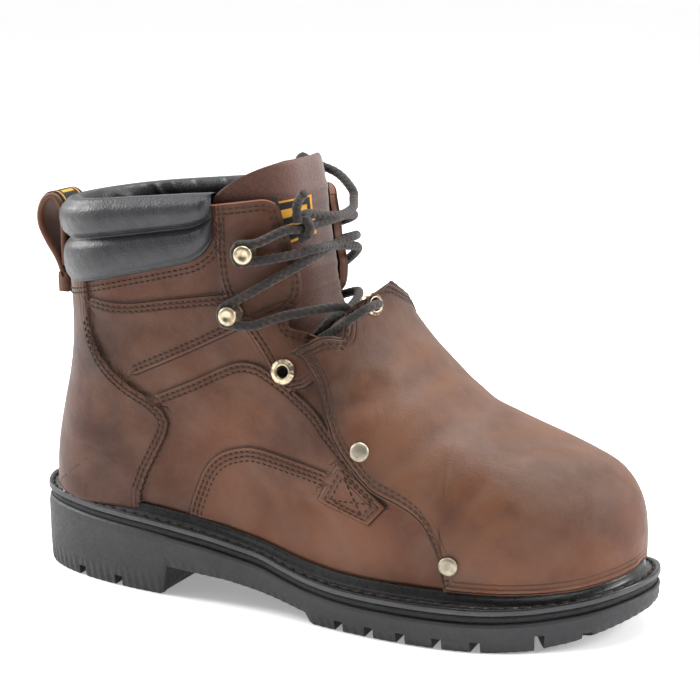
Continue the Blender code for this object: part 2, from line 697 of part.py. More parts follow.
def upper_grid(off, sections, low=0.0):
    """Rows of the upper from one throat edge round under the foot and up to the other."""
    rows = []
    for s in sections:
        row = []
        for side in (-1, 1):
            edge = throat_edge(s, side) if s > THROAT[0][0] else 0.0
            places = edge + (side - edge) * (1 - (1 - np.linspace(0, 1, RING)) ** 1.25)
            half = on_form(np.full(RING, s), places, off)
            feather = half[-1].copy()
            centre = 0.5 * (on_form(s, -1.0, 0.0) + on_form(s, 1.0, 0.0))
            if s <= CORNER:
                floor = welt_line(half[:, 0]) - WELT_T + low
                half[:, 2] = np.maximum(half[:, 2], floor)
                feather = half[-1].copy()
                width = abs(on_form(s, float(side), 0.0)[1] - centre[1])
                step = min(MARGIN, width)
                target = feather.copy()
                target[1] = on_form(s, float(side), 0.0)[1] - side * step
                turned = [feather * 0.5 + target * 0.5, target]
            else:
                turned = [feather, feather]
            half = np.vstack([half, turned])
            row.append(half if side > 0 else half[::-1])
        rows.append(row)
    return rows


SECTION_STEPS = np.concatenate([
    [0, 0.45, 1.0, 1.8, 2.8, 4.0, 5.2, 6.3, 7.3, 8.05, 8.3, 8.9, 9.8],
    np.arange(10.9, 16.6, 1.1), [17.3, CORNER, 19.2], np.arange(20.6, 27, 1.55), [TOPLINE],
])


def build_upper():
    outer = upper_grid(0.0, SECTION_STEPS)
    inner = upper_grid(-WALL, SECTION_STEPS, WALL)
    points = []
    faces = []
    across = RING + 2
    grids = []
    for grid in (outer, inner):
        base = len(points)
        for row in grid:
            for half in row:
                points.extend(half)
        grids.append(base)
    width = 2 * across

    def at(grid, i, side, j):
        return grids[grid] + i * width + side * across + j

    count = len(SECTION_STEPS)
    for i in range(count - 1):
        for side in (0, 1):
            for j in range(across - 1):
                a, b = at(0, i, side, j), at(0, i + 1, side, j)
                quad = (a, b, b + 1, a + 1)
                faces.append(quad)
                faces.append(tuple(q + grids[1] for q in quad)[::-1])
    # Rims: throat, underneath and topline
    apart = [np.linalg.norm(outer[i][0][0] - outer[i][1][-1]) > 0.0001 for i in range(count)]
    for i in range(count - 1):
        if SECTION_STEPS[i] >= THROAT[0][0] - 1e-6:
            for side, j in ((0, across - 1), (1, 0)):
                a, b = at(0, i, side, j), at(0, i + 1, side, j)
                faces.append((a, a + grids[1], b + grids[1], b))
        if apart[i] or apart[i + 1]:
            for side, j in ((0, 0), (1, across - 1)):
                a, b = at(0, i, side, j), at(0, i + 1, side, j)
                faces.append((a, a + grids[1], b + grids[1], b))
    for side in (0, 1):
        for j in range(across - 1):
            a, b = at(0, count - 1, side, j), at(0, count - 1, side, j + 1)
            faces.append((a, b, b + grids[1], a + grids[1]))
    return add_mesh("upper", points, faces, BROWN)


def seat_top(x):
    """Top of the upper's turned-in edge."""
    return welt_line(x) - WELT_T + WALL


def build_insole():
    line = seat_curve(WALL, -(WALL + 4 * GAP), 56)
    start = int(np.argmin(line[:, 0] + 0.2 * np.abs(line[:, 1])))
    line = np.roll(line, -start, axis=0)
    if line[5, 1] > 0:
        line = np.roll(line[::-1], 1, axis=0)

    def low(x):
        return seat_top(x) + GAP

    def high(x):
        return low(x) + INSOLE_T

    rings = [np.column_stack([line, high(line[:, 0])]), np.column_stack([line, low(line[:, 0])])]
    plate("insole", rings, high, low, BOARD)


TONGUE_STEPS = np.concatenate([
    [9.2, 9.9], np.arange(10.9, 18, 1.7), np.arange(19.4, 27, 2.1), [27.6, 28.8, 29.6],
])


def build_tongue():
    lateral, medial = [], []
    for s in TONGUE_STEPS:
        more = 0.055 * BALL * min(1.0, (s - 8.6) / 1.6)
        held = min(s, TOPLINE)
        narrow = 1 - 0.10 * max(0.0, s - 28.2)
        lateral.append((s, throat_edge(held, -1, more) * narrow))
        medial.append((s, throat_edge(held, 1, more) * narrow))
    points, faces = patch(lateral, medial, 9, -(WALL + TONGUE_DROP + TONGUE_T), -(WALL + TONGUE_DROP))
    return add_mesh("tongue", points, faces, SUEDE)


# Counter's front edge in side view, bottom to top: shares of LENGTH and SHAFT
COUNTER_EDGE = (
    (0.228, 0.250), (0.240, 0.300), (0.258, 0.355), (0.274, 0.405), (0.279, 0.437), (0.270, 0.466),
    (0.248, 0.492), (0.212, 0.521), (0.186, 0.552), (0.163, 0.588), (0.149, 0.632), (0.141, 0.690),
    (0.137, 0.735),
)


def low_place(s, side, lift):
    """Place on the upper at a height over its seat, or the last place where the ring closes at the back."""
    f = np.linspace(0, 1, 500) * side
    p = on_form(np.full_like(f, s), f)
    above = p[:, 2] - (welt_line(p[:, 0]) - WELT_T + lift)
    under = np.nonzero(above <= 0)[0]
    return float(f[under[0]]) if len(under) else float(side)


def wrap(front, sections, columns, low, high, lift):
    """A sheet round the back of the upper, between its front edges, over the welt's rib."""
    count = len(sections)
    grids = []
    for off in (high, low):
        rows = []
        for s in sections:
            halves = []
            for side in (-1, 1):
                bottom = low_place(s, side, lift)
                a = front(s, side)
                t = 1 - (1 - np.linspace(0, 1, columns)) ** 1.15
                halves.append(on_form(np.full(columns, s), a + (bottom - a) * t, off))
            rows.append(halves)
        grids.append(rows)
    points = [p for rows in grids for halves in rows for half in halves for p in half]
    step = 2 * columns
    base = count * step
    joined = [np.linalg.norm(grids[0][i][0][-1] - grids[0][i][1][-1]) < 0.0001 for i in range(count)]
    faces = []
    for i in range(count - 1):
        for side in (0, 1):
            for j in range(columns - 1):
                a = i * step + side * columns + j
                quad = (a, a + step, a + step + 1, a + 1)
                faces.append(quad)
                faces.append(tuple(q + base for q in quad)[::-1])
            rims = [0] if joined[i] and joined[i + 1] else [0, columns - 1]
            for j in rims:
                a = i * step + side * columns + j
                faces.append((a, a + base, a + base + step, a + step))
    for i in (0, count - 1):
        for side in (0, 1):
            for j in range(columns - 1):
                a = i * step + side * columns + j
                faces.append((a, a + 1, a + 1 + base, a + base))
    return points, faces


def edge_table(knots, side):
    """Place of a side-view line by section."""
    found = sorted(edge_through(knots, 40, side))
    return np.asarray(found)


def build_counter():
    tables = {side: edge_table(COUNTER_EDGE, side) for side in (-1, 1)}
    first = max(tables[-1][0, 0], tables[1][0, 0]) + 0.02
    last = 25.35

    def front(s, side):
        table = tables[side]
        return float(np.interp(s, table[:, 0], table[:, 1]))

    lift = WELT_T + WELT_RIB + 3 * GAP
    fine = np.linspace(CORNER, CORNER + 3, 301)
    closed = float(fine[[low_place(s, 1, lift) > 0.9999 for s in fine].index(True)])
    before = [s for s in SECTION_STEPS if first + 0.3 < s < 17.0]
    behind = closed - (closed - 17.0) * (1 - np.linspace(0, 1, 7)) ** 1.6
    after = [s for s in SECTION_STEPS if closed + 0.4 < s < last - 0.3]
    sections = np.concatenate([[first], before, behind, after, [last]])
    points, faces = wrap(front, sections, 9, 3 * GAP, 3 * GAP + OVERLAY_T, lift)
    return add_mesh("heel_counter", points, faces, BROWN)


COLLAR_X = 0.359        # collar's front edge, share of LENGTH
COLLAR_STEPS = 9        # places from the front edge to the back, one side


def collar_front(s, side):
    """Place at section s where the upper's side passes the collar's front edge."""
    f = np.linspace(0.2, 1, 300) * side
    p = on_form(np.full_like(f, s), f)
    return float(np.interp(-COLLAR_X * LENGTH, -p[:, 0], f))


def build_collar():
    pad = COLLAR_PAD
    inside = -WALL - GAP * 1.5
    profile = (
        (0.0, 2.5 * GAP), (0.0, 0.0015), (0.10, 0.70 * pad), (0.26, pad), (0.40, 0.80 * pad), (0.49, 0.0017),
        (0.58, 0.85 * pad), (0.76, 1.12 * pad), (0.92, 0.85 * pad), (1.02, 0.0012), (1.04, -0.0012),
        (1.0, inside - 0.0022), (0.88, inside - 0.0028), (0.74, inside - 0.0012), (0.74, inside), (0.855, inside),
    )
    top = TOPLINE + 0.62
    rows = []
    for side in (-1, 1):
        order = range(COLLAR_STEPS + 1) if side < 0 else range(COLLAR_STEPS - 1, -1, -1)
        for k in order:
            q = k / COLLAR_STEPS
            low = 25.0 + 0.75 * math.sin(0.5 * math.pi * q)
            ring = []
            for u, off in profile:
                s = low + u * (top - low)
                if u == 0.855:
                    s = TOPLINE + 0.07
                a = collar_front(s, side)
                ring.append(on_form(s, a + (side - a) * q, off))
            for s, off in ((TOPLINE + 0.07, 2.5 * GAP), (26.8, 2.5 * GAP)):
                a = collar_front(s, side)
                ring.append(on_form(s, a + (side - a) * q, off))
            rows.append(ring)
    rows = np.asarray(rows)
    count, across = rows.shape[:2]
    faces = []
    for i in range(count - 1):
        for j in range(across):
            m = (j + 1) % across
            faces.append((i * across + j, (i + 1) * across + j, (i + 1) * across + m, i * across + m))
    faces.append(tuple(range(across)))
    faces.append(tuple((count - 1) * across + j for j in range(across))[::-1])
    return add_mesh("padded_collar", rows.reshape(-1, 3), faces, DARK)


# Facing's rear edge in side view, top to bottom, and the sections of its throat edge
FACING_REAR = ((0.365, 0.960), (0.365, 0.86), (0.372, 0.78), (0.401, 0.70), (0.433, 0.63), (0.462, 0.565))
FACING_FRONT = ((0.0, 27.7), (0.3, 23.8), (0.52, 20.2), (0.68, 16.0), (0.82, 12.4), (1.0, 10.3))


def build_facing(side, name):
    count = 15
    rear = edge_through(FACING_REAR, count, side)
    front = []
    for t in np.linspace(0, 1, count):
        s = float(curve(FACING_FRONT, t))
        front.append((s, throat_edge(s, side, 0.0006)))
    points, faces = patch(front, rear, 5, 1.5 * GAP, 1.5 * GAP + OVERLAY_T)
    return add_mesh(name, points, faces, BROWN)


# Side tab's corners in side view: top front, bottom front, top back, bottom back
TAB = ((0.650, 0.312), (0.622, 0.262), (0.570, 0.402), (0.536, 0.300))


def build_tab(side, name):
    front = edge_through(TAB[:2], 4, side)
    rear = edge_through(TAB[2:], 4, side)
    points, faces = patch(front, rear, 6, 1.5 * GAP, 1.5 * GAP + OVERLAY_T)
    return add_mesh(name, points, faces, BROWN)


# Guard's side edge in side view from the welt up to its corner, as laid on the upper
GUARD_EDGE = (
    (0.741, 0.150), (0.735, 0.200), (0.725, 0.245), (0.714, 0.274), (0.695, 0.302), (0.670, 0.323),
    (0.641, 0.343), (0.607, 0.388), (0.580, 0.434), (0.558, 0.489), (0.538, 0.542), (0.522, 0.580),
    (0.503, 0.612), (0.487, 0.628),
)
# Lift of the guard off the upper by section: along the ridge and at its edge, shares of SHAFT
GUARD_LIFT = (
    (0.0, 0.0, 0.0), (3.6, 0.0, 0.0), (4.6, 0.003, 0.001), (5.5, 0.009, 0.003), (6.2, 0.020, 0.005),
    (7.0, 0.042, 0.007), (7.5, 0.056, 0.009), (8.0, 0.069, 0.013), (8.5, 0.081, 0.018), (9.0, 0.094, 0.024),
    (9.5, 0.110, 0.031), (10.0, 0.128, 0.040), (10.5, 0.146, 0.047), (11.0, 0.160, 0.052), (12.0, 0.180, 0.062),
)
# The guard's top edge: section by share of the way from ridge to side edge
GUARD_TOP = (
    (0.0, 10.15), (0.20, 10.25), (0.34, 10.35), (0.44, 10.15), (0.52, 9.75), (0.60, 9.55), (0.70, 10.05),
    (0.80, 10.75), (0.92, 11.35), (1.0, 11.45),
)
GUARD_FREE = 7.0        # section above which the top edge shapes the rows


def guard_tables():
    return {side: edge_table(GUARD_EDGE, side) for side in (-1, 1)}


def guard_edge(s, side):
    table = GUARD_TABLES[side]
    if s <= table[0, 0]:
        return low_place(s, side, WELT_T + WELT_RIB + 3 * GAP)
    return float(np.interp(s, table[:, 0], table[:, 1]))


def guard_at(s, q, off=0.0):
    """Point of the guard's underside at section s and share q from the ridge (negative lateral)."""
    side = -1 if q < 0 else 1
    edge = guard_edge(s, side)
    away = abs(q)
    ridge, rim = curve(GUARD_LIFT, s) * SHAFT
    lift = 3.4 * GAP + ridge * (1 - away**2) ** 1.3 + rim * away**3
    return on_form(s, edge * away, lift + off)


def build_guard():
    half = np.array([0.16, 0.32, 0.44, 0.56, 0.68, 0.80, 0.91, 1.0])
    shares = np.concatenate([-half[::-1], [0], half])
    steps = np.array([0, 0.4, 0.9, 1.5, 2.2, 3.0, 3.8, 4.6, 5.4, 6.2, 7.0, 7.8, 8.6, 9.5, 10.45])
    grids = []
    for off in (GUARD_T, 0.0):
        rows = []
        for step in steps:
            row = []
            for q in shares:
                s = float(step)
                if s > GUARD_FREE:
                    end = float(curve(GUARD_TOP, abs(q)))
                    s = GUARD_FREE + (s - GUARD_FREE) * (end - GUARD_FREE) / (steps[-1] - GUARD_FREE)
                row.append(guard_at(s, float(q), off))
            rows.append(row)
        grids.append(np.asarray(rows))
    points, faces = shell(grids[0], grids[1], folded=True)
    return add_mesh("metatarsal_guard", points, faces, BROWN)


# Hardware places in side view, shares of LENGTH and SHAFT: lateral side, then medial side
HOOKS = {
    "hook_lateral_upper": (0.411, 0.879, -1), "hook_lateral_lower": (0.391, 0.727, -1),
    "hook_medial_upper": (0.421, 0.868, 1), "hook_medial_lower": (0.404, 0.718, 1),
}
BOOT_EYELETS = {"boot_eyelet_lateral": (0.470, 0.592, -1), "boot_eyelet_medial": (0.476, 0.585, 1)}
# Rivets by section and share of the way from the guard's ridge to its side edge
RIVETS = {
    "guard_rivet_lateral_upper": (7.35, -0.865), "guard_rivet_lateral_lower": (5.30, -0.885),
    "guard_rivet_medial_upper": (7.35, 0.865), "guard_rivet_medial_lower": (5.30, 0.885),
}
GUARD_EYELETS = {"guard_eyelet_lateral_upper": (9.85, -0.36), "guard_eyelet_medial_upper": (9.85, 0.36)}


def eyelet_profile(thick, hole, flange):
    """A grommet: a domed flange outside, a barrel through the leather and a rolled foot inside."""
    low = -thick - 3 * GAP
    return (
        (hole, low - 0.0006), (hole + 0.0016, low - 0.0006), (hole + 0.0016, low), (hole + 0.0005, low),
        (hole + 0.0005, GAP), (flange, GAP), (hole, 0.0014),
    )


def hole_cutter(foot, normal, radius, name):
    points, faces = solid_lathe(((0, -0.012), (radius, -0.012), (radius, 0.010), (0, 0.010)), 11)
    return add_mesh(name, stand(points, foot, normal), faces, BRASS, False)


def upper_face(s, f):
    return on_form(s, f, 1.5 * GAP + OVERLAY_T)


def guard_face(s, q):
    return guard_at(s, q, GUARD_T)


def guard_spot(s, q):
    foot = guard_face(s, q)
    u = guard_face(s + 0.05, q) - guard_face(s - 0.05, q)
    v = guard_face(s, q + 0.02) - guard_face(s, q - 0.02)
    normal = np.cross(v, u)
    normal /= np.linalg.norm(normal)
    return foot, normal if np.dot(normal, foot - np.array([0.6 * LENGTH, 0, 0.02])) > 0 else -normal


def outward(foot, normal):
    return normal if np.dot(normal, foot - np.array([0.25 * LENGTH, 0, foot[2] - 0.01])) > 0 else -normal


def build_hardware(upper, facings, guard):
    """Hooks, eyelets and rivets stand on the surface under them; each eyelet's barrel passes a drilled hole."""
    places = {}
    for name, (x, z, side) in HOOKS.items():
        foot, normal = spot(upper_face, *place_at(x, z, side))
        normal = outward(foot, normal)
        places[name] = (foot, normal)
        base = 2 * GAP
        profile = (
            (0, base), (HOOK_R, base), (HOOK_R, base + 0.0008), (0.0017, base + 0.0016),
            (0.0017, base + HOOK_NECK), (HOOK_R, base + HOOK_NECK + 0.0005), (HOOK_R * 0.8, base + HOOK_NECK + 0.0012),
            (0, base + HOOK_NECK + 0.0013),
        )
        points, faces = solid_lathe(profile, 11)
        add_mesh(name, stand(points, foot, normal), faces, BRASS)
    for name, (x, z, side) in BOOT_EYELETS.items():
        foot, normal = spot(upper_face, *place_at(x, z, side))
        normal = outward(foot, normal)
        places[name] = (foot, normal)
        thick = WALL + OVERLAY_T + 1.5 * GAP
        points, faces = lathe(eyelet_profile(thick, EYELET_HOLE, EYELET_R), 11)
        add_mesh(name, stand(points + np.array([0, 0, 0.0001]), foot, normal), faces, BRASS)
        cutter = hole_cutter(foot, normal, EYELET_HOLE + 0.0005 + 1.5 * GAP, name + "_cutter")
        boolean(upper, cutter, "DIFFERENCE")
        boolean(facings[side], cutter, "DIFFERENCE")
    for name, (s, q) in GUARD_EYELETS.items():
        foot, normal = guard_spot(s, q)
        places[name] = (foot, normal)
        points, faces = lathe(eyelet_profile(GUARD_T, EYELET_HOLE, EYELET_R * 0.9), 11)
        add_mesh(name, stand(points + np.array([0, 0, 0.0002]), foot, normal), faces, BRASS)
        cutter = hole_cutter(foot, normal, EYELET_HOLE + 0.0005 + 1.5 * GAP, name + "_cutter")
        boolean(guard, cutter, "DIFFERENCE")
    for name, (s, q) in RIVETS.items():
        foot, normal = guard_spot(s, q)
        base = 1.5 * GAP
        profile = (
            (0, base), (RIVET_R, base), (RIVET_R, base + 0.0005), (RIVET_R * 0.8, base + 0.0011), (0, base + 0.0014),
        )
        points, faces = solid_lathe(profile, 12)
        add_mesh(name, stand(points, foot, normal), faces, BRASS)
    return places


# Pull loop, side view: x percent of LENGTH, z percent of SHAFT, from its base round the top and back
LOOP = (
    (4.55, 75.0), (3.1, 79.5), (0.9, 84.0), (-0.5, 88.0), (-0.6, 91.5), (0.6, 94.4), (2.3, 94.9), (3.6, 92.6),
    (4.2, 88.0), (4.35, 83.0), (4.75, 78.0),
)


def build_loop():
    middle = smooth_route([(x * LENGTH / 100, 0.0, z * SHAFT / 100) for x, z in LOOP], 26)[:, [0, 2]]
    ahead = np.gradient(middle, axis=0)
    ahead /= np.linalg.norm(ahead, axis=1)[:, None]
    side = np.stack([ahead[:, 1], -ahead[:, 0]], axis=1)
    half = LOOP_T / 2
    outer = middle - side * half
    inner = middle + side * half
    points = []
    for y in (-LOOP_W / 2, LOOP_W / 2):
        for line in (outer, inner):
            points += [(x, y, z) for x, z in line]
    n = len(middle)
    layer_n = 2 * n
    faces = []
    for i in range(n - 1):
        faces.append((i, i + 1, n + i + 1, n + i))
        faces.append((layer_n + i, layer_n + n + i, layer_n + n + i + 1, layer_n + i + 1))
        faces.append((i, layer_n + i, layer_n + i + 1, i + 1))
        faces.append((n + i, n + i + 1, layer_n + n + i + 1, layer_n + n + i))
    for i in (0, n - 1):
        faces.append((i, n + i, layer_n + n + i, layer_n + i))
    strap = add_mesh("pull_loop", points, faces, BROWN, False)
    base = LOOP[0]
    x = base[0] * LENGTH / 100
    z = base[1] * SHAFT / 100
    box = []
    for px in (x - 0.0026, x + 0.0026):
        for py in (-LOOP_W / 2 + 0.0001, LOOP_W / 2 - 0.0001):
            for pz in (z - 0.0075, z + 0.0022):
                box.append((px, py, pz))
    sides = [(0, 1, 3, 2), (4, 6, 7, 5), (0, 4, 5, 1), (2, 3, 7, 6), (0, 2, 6, 4), (1, 5, 7, 3)]
    root = add_mesh("loop_root", box, sides, BROWN, False)
    boolean(strap, root, "UNION")


def hook_turn(place):
    """Points of a lace round a hook's neck: in from the throat below, behind the neck, out above."""
    foot, normal = place
    centre = foot + normal * (2 * GAP + 0.0011 + HOOK_NECK / 2)
    upward = np.array([0, 0, 1.0]) - normal * normal[2]
    upward /= np.linalg.norm(upward)
    front = np.cross(upward, normal)
    front = front if front[0] > 0 else -front
    reach = 0.0019 + LACE_R + 2 * GAP
    ring = []
    for angle in (-112, -135, -180, 135, 112):
        turn = math.radians(angle)
        ring.append(centre + reach * (front * math.cos(turn) + upward * math.sin(turn)))
    return ring, front, upward


def over_throat(start, end, highest, lowest):
    """Lace points across the throat between two (section, place) spots, high over the facings and low between."""
    found = []
    for t in (0.16, 0.30, 0.42, 0.5, 0.58, 0.70, 0.84):
        s = start[0] + (end[0] - start[0]) * t
        f = start[1] + (end[1] - start[1]) * t
        share = min(1.0, abs(2 * t - 1) / 0.62)
        found.append(on_form(s, f, lowest + (highest - lowest) * (3 * share**2 - 2 * share**3)))
    return found


LACE_HIGH = 0.0080      # lace's middle over the upper at the hooks
LACE_LOW = 0.0030       # and over the throat, above the tongue
KNOT = (26.4, 0.0)      # section and place of the knot


def build_lace(places):
    """Two strands from the guard's upper eyelets over the hooks to the knot, joined where they cross."""
    spots = {name: place_at(x, z, side) for name, (x, z, side) in HOOKS.items()}
    routes = []
    for side, eye, low_hook, high_hook in (
        (1, "guard_eyelet_medial_upper", "hook_lateral_lower", "hook_medial_upper"),
        (-1, "guard_eyelet_lateral_upper", "hook_medial_lower", "hook_lateral_upper"),
    ):
        foot, normal = places[eye]
        toward = np.array([-0.8, 0, 0.6])
        toward -= normal * np.dot(toward, normal)
        toward /= np.linalg.norm(toward)
        low_turn, low_front, _ = hook_turn(places[low_hook])
        high_turn, _, _ = hook_turn(places[high_hook])
        leave = [foot + normal * 0.0008, foot + normal * 0.0035, foot + normal * 0.0060 + toward * 0.0022]
        beyond = foot + normal * 0.0050 + toward * 0.0095
        beyond[1] *= 0.5
        meet = np.array([0.552 * LENGTH, 0.0, 0.797 * SHAFT])
        near = low_turn[0] + low_front * 0.0150 + places[low_hook][1] * 0.0009
        s_low, f_low = spots[low_hook]
        s_high, f_high = spots[high_hook]
        across = over_throat((s_low + 0.6, f_low), (s_high - 0.6, f_high), LACE_HIGH, LACE_LOW)
        last = over_throat((s_high + 0.5, f_high), (KNOT[0] + 0.4, -f_high), LACE_HIGH, LACE_LOW)[:3]
        route = leave + [beyond, meet, near] + low_turn + across + high_turn + last
        routes.append(route + [on_form(*KNOT, LACE_LOW)])
    first, second = (tube_points(smooth_route(route, 46), LACE_R, 6) for route in routes)
    lace = add_mesh("lace_crossings", *first, CORD)
    other = add_mesh("lace_second", *second, CORD)
    boolean(lace, other, "UNION")


def cord(name, route, radius):
    made = bpy.data.curves.new(name, "CURVE")
    made.dimensions = "3D"
    made.bevel_depth = radius
    made.bevel_resolution = 2
    made.use_fill_caps = True
    spline = made.splines.new("POLY")
    spline.points.add(len(route) - 1)
    for point, place in zip(spline.points, route):
        point.co = (place[0] - ORIGIN_X * LENGTH, place[1], place[2], 1)
    item = bpy.data.objects.new(name, made)
    bpy.context.scene.collection.objects.link(item)
    made.materials.append(CORD)


def build_ends():
    """The long end, round the knot and tucked inside over the medial topline, and the short stub on the knot."""
    centre = on_form(*KNOT, LACE_LOW)
    ahead = on_form(*KNOT, LACE_LOW + 0.01) - centre
    ahead /= np.linalg.norm(ahead)
    upward = np.array([-ahead[2], 0.0, ahead[0]])
    medial = np.array([0.0, 1.0, 0.0])
    ring = 2 * LACE_R + 2 * GAP
    route = []
    for turn in np.linspace(-0.27, 0.20, 12):
        angle = 2 * math.pi * turn
        slide = medial * turn * (2 * LACE_R + 3 * GAP)
        route.append(centre + slide + ring * (ahead * math.cos(angle) + upward * math.sin(angle)))
    edge = throat_edge(28.0, 1)
    tucked = edge + 0.62 * (collar_front(27.9, 1) - edge)
    route += [
        centre + medial * 0.0048 + ahead * 0.0020 + upward * 0.0062,
        on_form(27.3, 0.55 * edge, 0.0080), on_form(28.0, 0.85 * edge, 0.0088),
        on_form(28.5, 0.6 * edge + 0.4 * tucked, 0.0082), on_form(29.25, tucked, 0.0050),
        on_form(29.55, tucked, -0.0010), on_form(29.1, tucked, -0.0062), on_form(28.2, tucked, -0.0080),
        on_form(26.8, tucked, -0.0088), on_form(25.2, tucked, -0.0096),
    ]
    cord("lace_tail", smooth_route(route, 54), LACE_R)
    top = ring + LACE_R + 1.5 * GAP
    above = centre - medial * 0.0022
    stub = [
        above + upward * top, above + upward * (top + 0.0035) + ahead * 0.0006,
        above + upward * (top + 0.0070) + ahead * 0.0032 - medial * 0.0015,
        above + upward * (top + 0.0095) + ahead * 0.0070 - medial * 0.0040,
    ]
    cord("lace_stub", smooth_route(stub, 10), LACE_R)


if __name__ == "__main__":
    build_sole()
    build_welt()
    UPPER = build_upper()
    build_insole()
    build_tongue()
    build_counter()
    build_collar()
    FACINGS = {-1: build_facing(-1, "facing_lateral"), 1: build_facing(1, "facing_medial")}
    build_tab(-1, "side_tab_lateral")
    build_tab(1, "side_tab_medial")
    GUARD_TABLES = guard_tables()
    GUARD = build_guard()
    PLACES = build_hardware(UPPER, FACINGS, GUARD)
    build_loop()
    build_lace(PLACES)
    build_ends()
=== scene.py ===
"""Looks of the metatarsal guard work boot: leather, stitching, lace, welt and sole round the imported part."""
import math

import bmesh
import bpy
import numpy as np
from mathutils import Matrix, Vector, kdtree
from mathutils.bvhtree import BVHTree


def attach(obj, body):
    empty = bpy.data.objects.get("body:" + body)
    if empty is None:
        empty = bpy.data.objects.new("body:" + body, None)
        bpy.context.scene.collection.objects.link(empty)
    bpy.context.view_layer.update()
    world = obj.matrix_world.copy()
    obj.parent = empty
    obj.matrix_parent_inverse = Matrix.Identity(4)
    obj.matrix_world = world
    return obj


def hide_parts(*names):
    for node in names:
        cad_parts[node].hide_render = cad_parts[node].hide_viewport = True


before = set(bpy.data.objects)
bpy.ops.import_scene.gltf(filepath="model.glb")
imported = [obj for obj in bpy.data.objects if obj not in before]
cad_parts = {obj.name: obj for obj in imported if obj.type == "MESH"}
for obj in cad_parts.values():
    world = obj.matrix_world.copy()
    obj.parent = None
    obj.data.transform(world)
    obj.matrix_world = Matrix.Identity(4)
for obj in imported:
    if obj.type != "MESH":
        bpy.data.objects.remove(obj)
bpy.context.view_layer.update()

# Named sizes, metres, as in the part
LENGTH = 0.312
BALL = 0.115
HEEL_RISE = 0.038
SHAFT = 0.190
WALL = 0.0022
GAP = 0.0003
WELT_T = 0.0028
WELT_RIB = 0.0045
MIDSOLE_T = 0.0034
MIDSOLE_INSET = 0.0011
TONGUE_T = 0.0036
TONGUE_DROP = 0.0021
OVERLAY_T = 0.0016
GUARD_T = 0.0032
COLLAR_PAD = 0.0052
LUG_DEPTH = 0.0050
LUG_GAP = 0.0044
EYELET_R = 0.0059
EYELET_HOLE = 0.0028
HOOK_R = 0.0044
HOOK_NECK = 0.0081
RIVET_R = 0.0043
LACE_R = 0.0020
LOOP_W = 0.0230
LOOP_T = 0.0031
ORIGIN_X = 0.14
STITCH = 0.0031         # pitch of the seams' stitches
WELT_STITCH = 0.0063    # pitch of the welt's stitches
THREAD_LONG = 0.0023    # one stitch of a seam
THREAD_R = 0.00036
SKIN_HOLE = 0.0034      # radius cut from the leather under an eyelet
BRAID_PITCH = 0.0052    # one turn of the lace's braid

# Upper sections, front to back: bottom x, rise, ridge x, ridge z, lateral and medial half widths,
# start of the top, roundness, width. x in percent of LENGTH, rise and z of SHAFT, widths of BALL.
SECTIONS = (
    (96.3, 0.0, 96.6, 24.2, 41.3, 37.8, 0.34, 2.20, 1.02),
    (95.5, 0.0, 95.8, 31.6, 41.3, 37.8, 0.34, 2.20, 1.02),
    (92.9, 0.0, 92.8, 37.6, 41.3, 37.8, 0.34, 2.25, 1.02),
    (89.1, 0.0, 88.5, 40.8, 41.3, 37.8, 0.34, 2.30, 1.02),
    (84.0, 0.0, 83.0, 43.9, 41.3, 37.8, 0.34, 2.30, 1.02),
    (77.9, 0.0, 76.9, 47.4, 41.3, 37.8, 0.34, 2.30, 1.02),
    (71.2, 0.0, 70.5, 51.1, 41.3, 37.8, 0.34, 2.30, 1.02),
    (64.1, 0.0, 65.1, 55.3, 40.9, 37.4, 0.34, 2.35, 1.02),
    (57.1, 0.0, 60.3, 59.5, 39.1, 34.8, 0.36, 2.50, 1.01),
    (49.7, 0.0, 56.7, 63.2, 36.1, 32.2, 0.40, 2.75, 1.01),
    (41.7, 0.0, 54.2, 66.3, 33.9, 30.0, 0.44, 3.00, 1.01),
    (33.7, 0.0, 52.7, 68.4, 32.6, 29.3, 0.47, 3.20, 1.01),
    (25.6, 0.0, 51.9, 70.0, 32.2, 29.4, 0.49, 3.30, 1.01),
    (18.6, 0.0, 51.3, 71.6, 31.8, 29.8, 0.50, 3.30, 1.00),
    (12.8, 0.0, 51.0, 73.2, 31.7, 30.0, 0.50, 3.30, 1.00),
    (8.7, 0.0, 50.6, 74.7, 31.7, 30.0, 0.50, 3.30, 1.00),
    (5.8, 0.0, 50.5, 76.1, 31.7, 30.0, 0.50, 3.30, 1.00),
    (4.1, 0.0, 50.3, 77.4, 31.7, 30.0, 0.50, 3.30, 1.00),
    (3.5, 0.0, 50.2, 78.4, 31.7, 30.0, 0.50, 3.30, 1.00),
    (3.4, 4.2, 50.0, 79.7, 31.7, 30.4, 0.50, 3.30, 1.00),
    (3.5, 9.5, 49.8, 81.3, 31.7, 30.9, 0.50, 3.30, 1.00),
    (4.0, 15.8, 49.7, 83.2, 31.7, 31.3, 0.50, 3.30, 1.00),
    (5.0, 23.7, 49.4, 85.5, 31.7, 31.3, 0.50, 3.30, 1.00),
    (6.1, 31.6, 49.0, 88.2, 31.7, 31.3, 0.50, 3.30, 1.00),
    (6.9, 40.0, 48.7, 91.1, 32.2, 31.7, 0.50, 3.30, 1.00),
    (7.1, 48.4, 48.4, 93.7, 32.6, 32.6, 0.50, 3.30, 1.00),
    (6.9, 56.8, 48.1, 96.3, 33.0, 33.0, 0.50, 3.30, 1.00),
    (6.7, 65.3, 47.9, 98.9, 33.5, 33.5, 0.50, 3.30, 1.00),
    (6.6, 72.1, 47.8, 101.1, 33.9, 33.9, 0.50, 3.30, 1.00),
    (6.4, 78.4, 47.3, 104.2, 33.9, 33.9, 0.50, 3.30, 1.00),
    (6.4, 85.8, 46.5, 109.5, 33.9, 33.9, 0.50, 3.30, 1.00),
)
CORNER = 18             # the section that ends at the heel's corner
TOPLINE = 28.0          # the section of the top edge
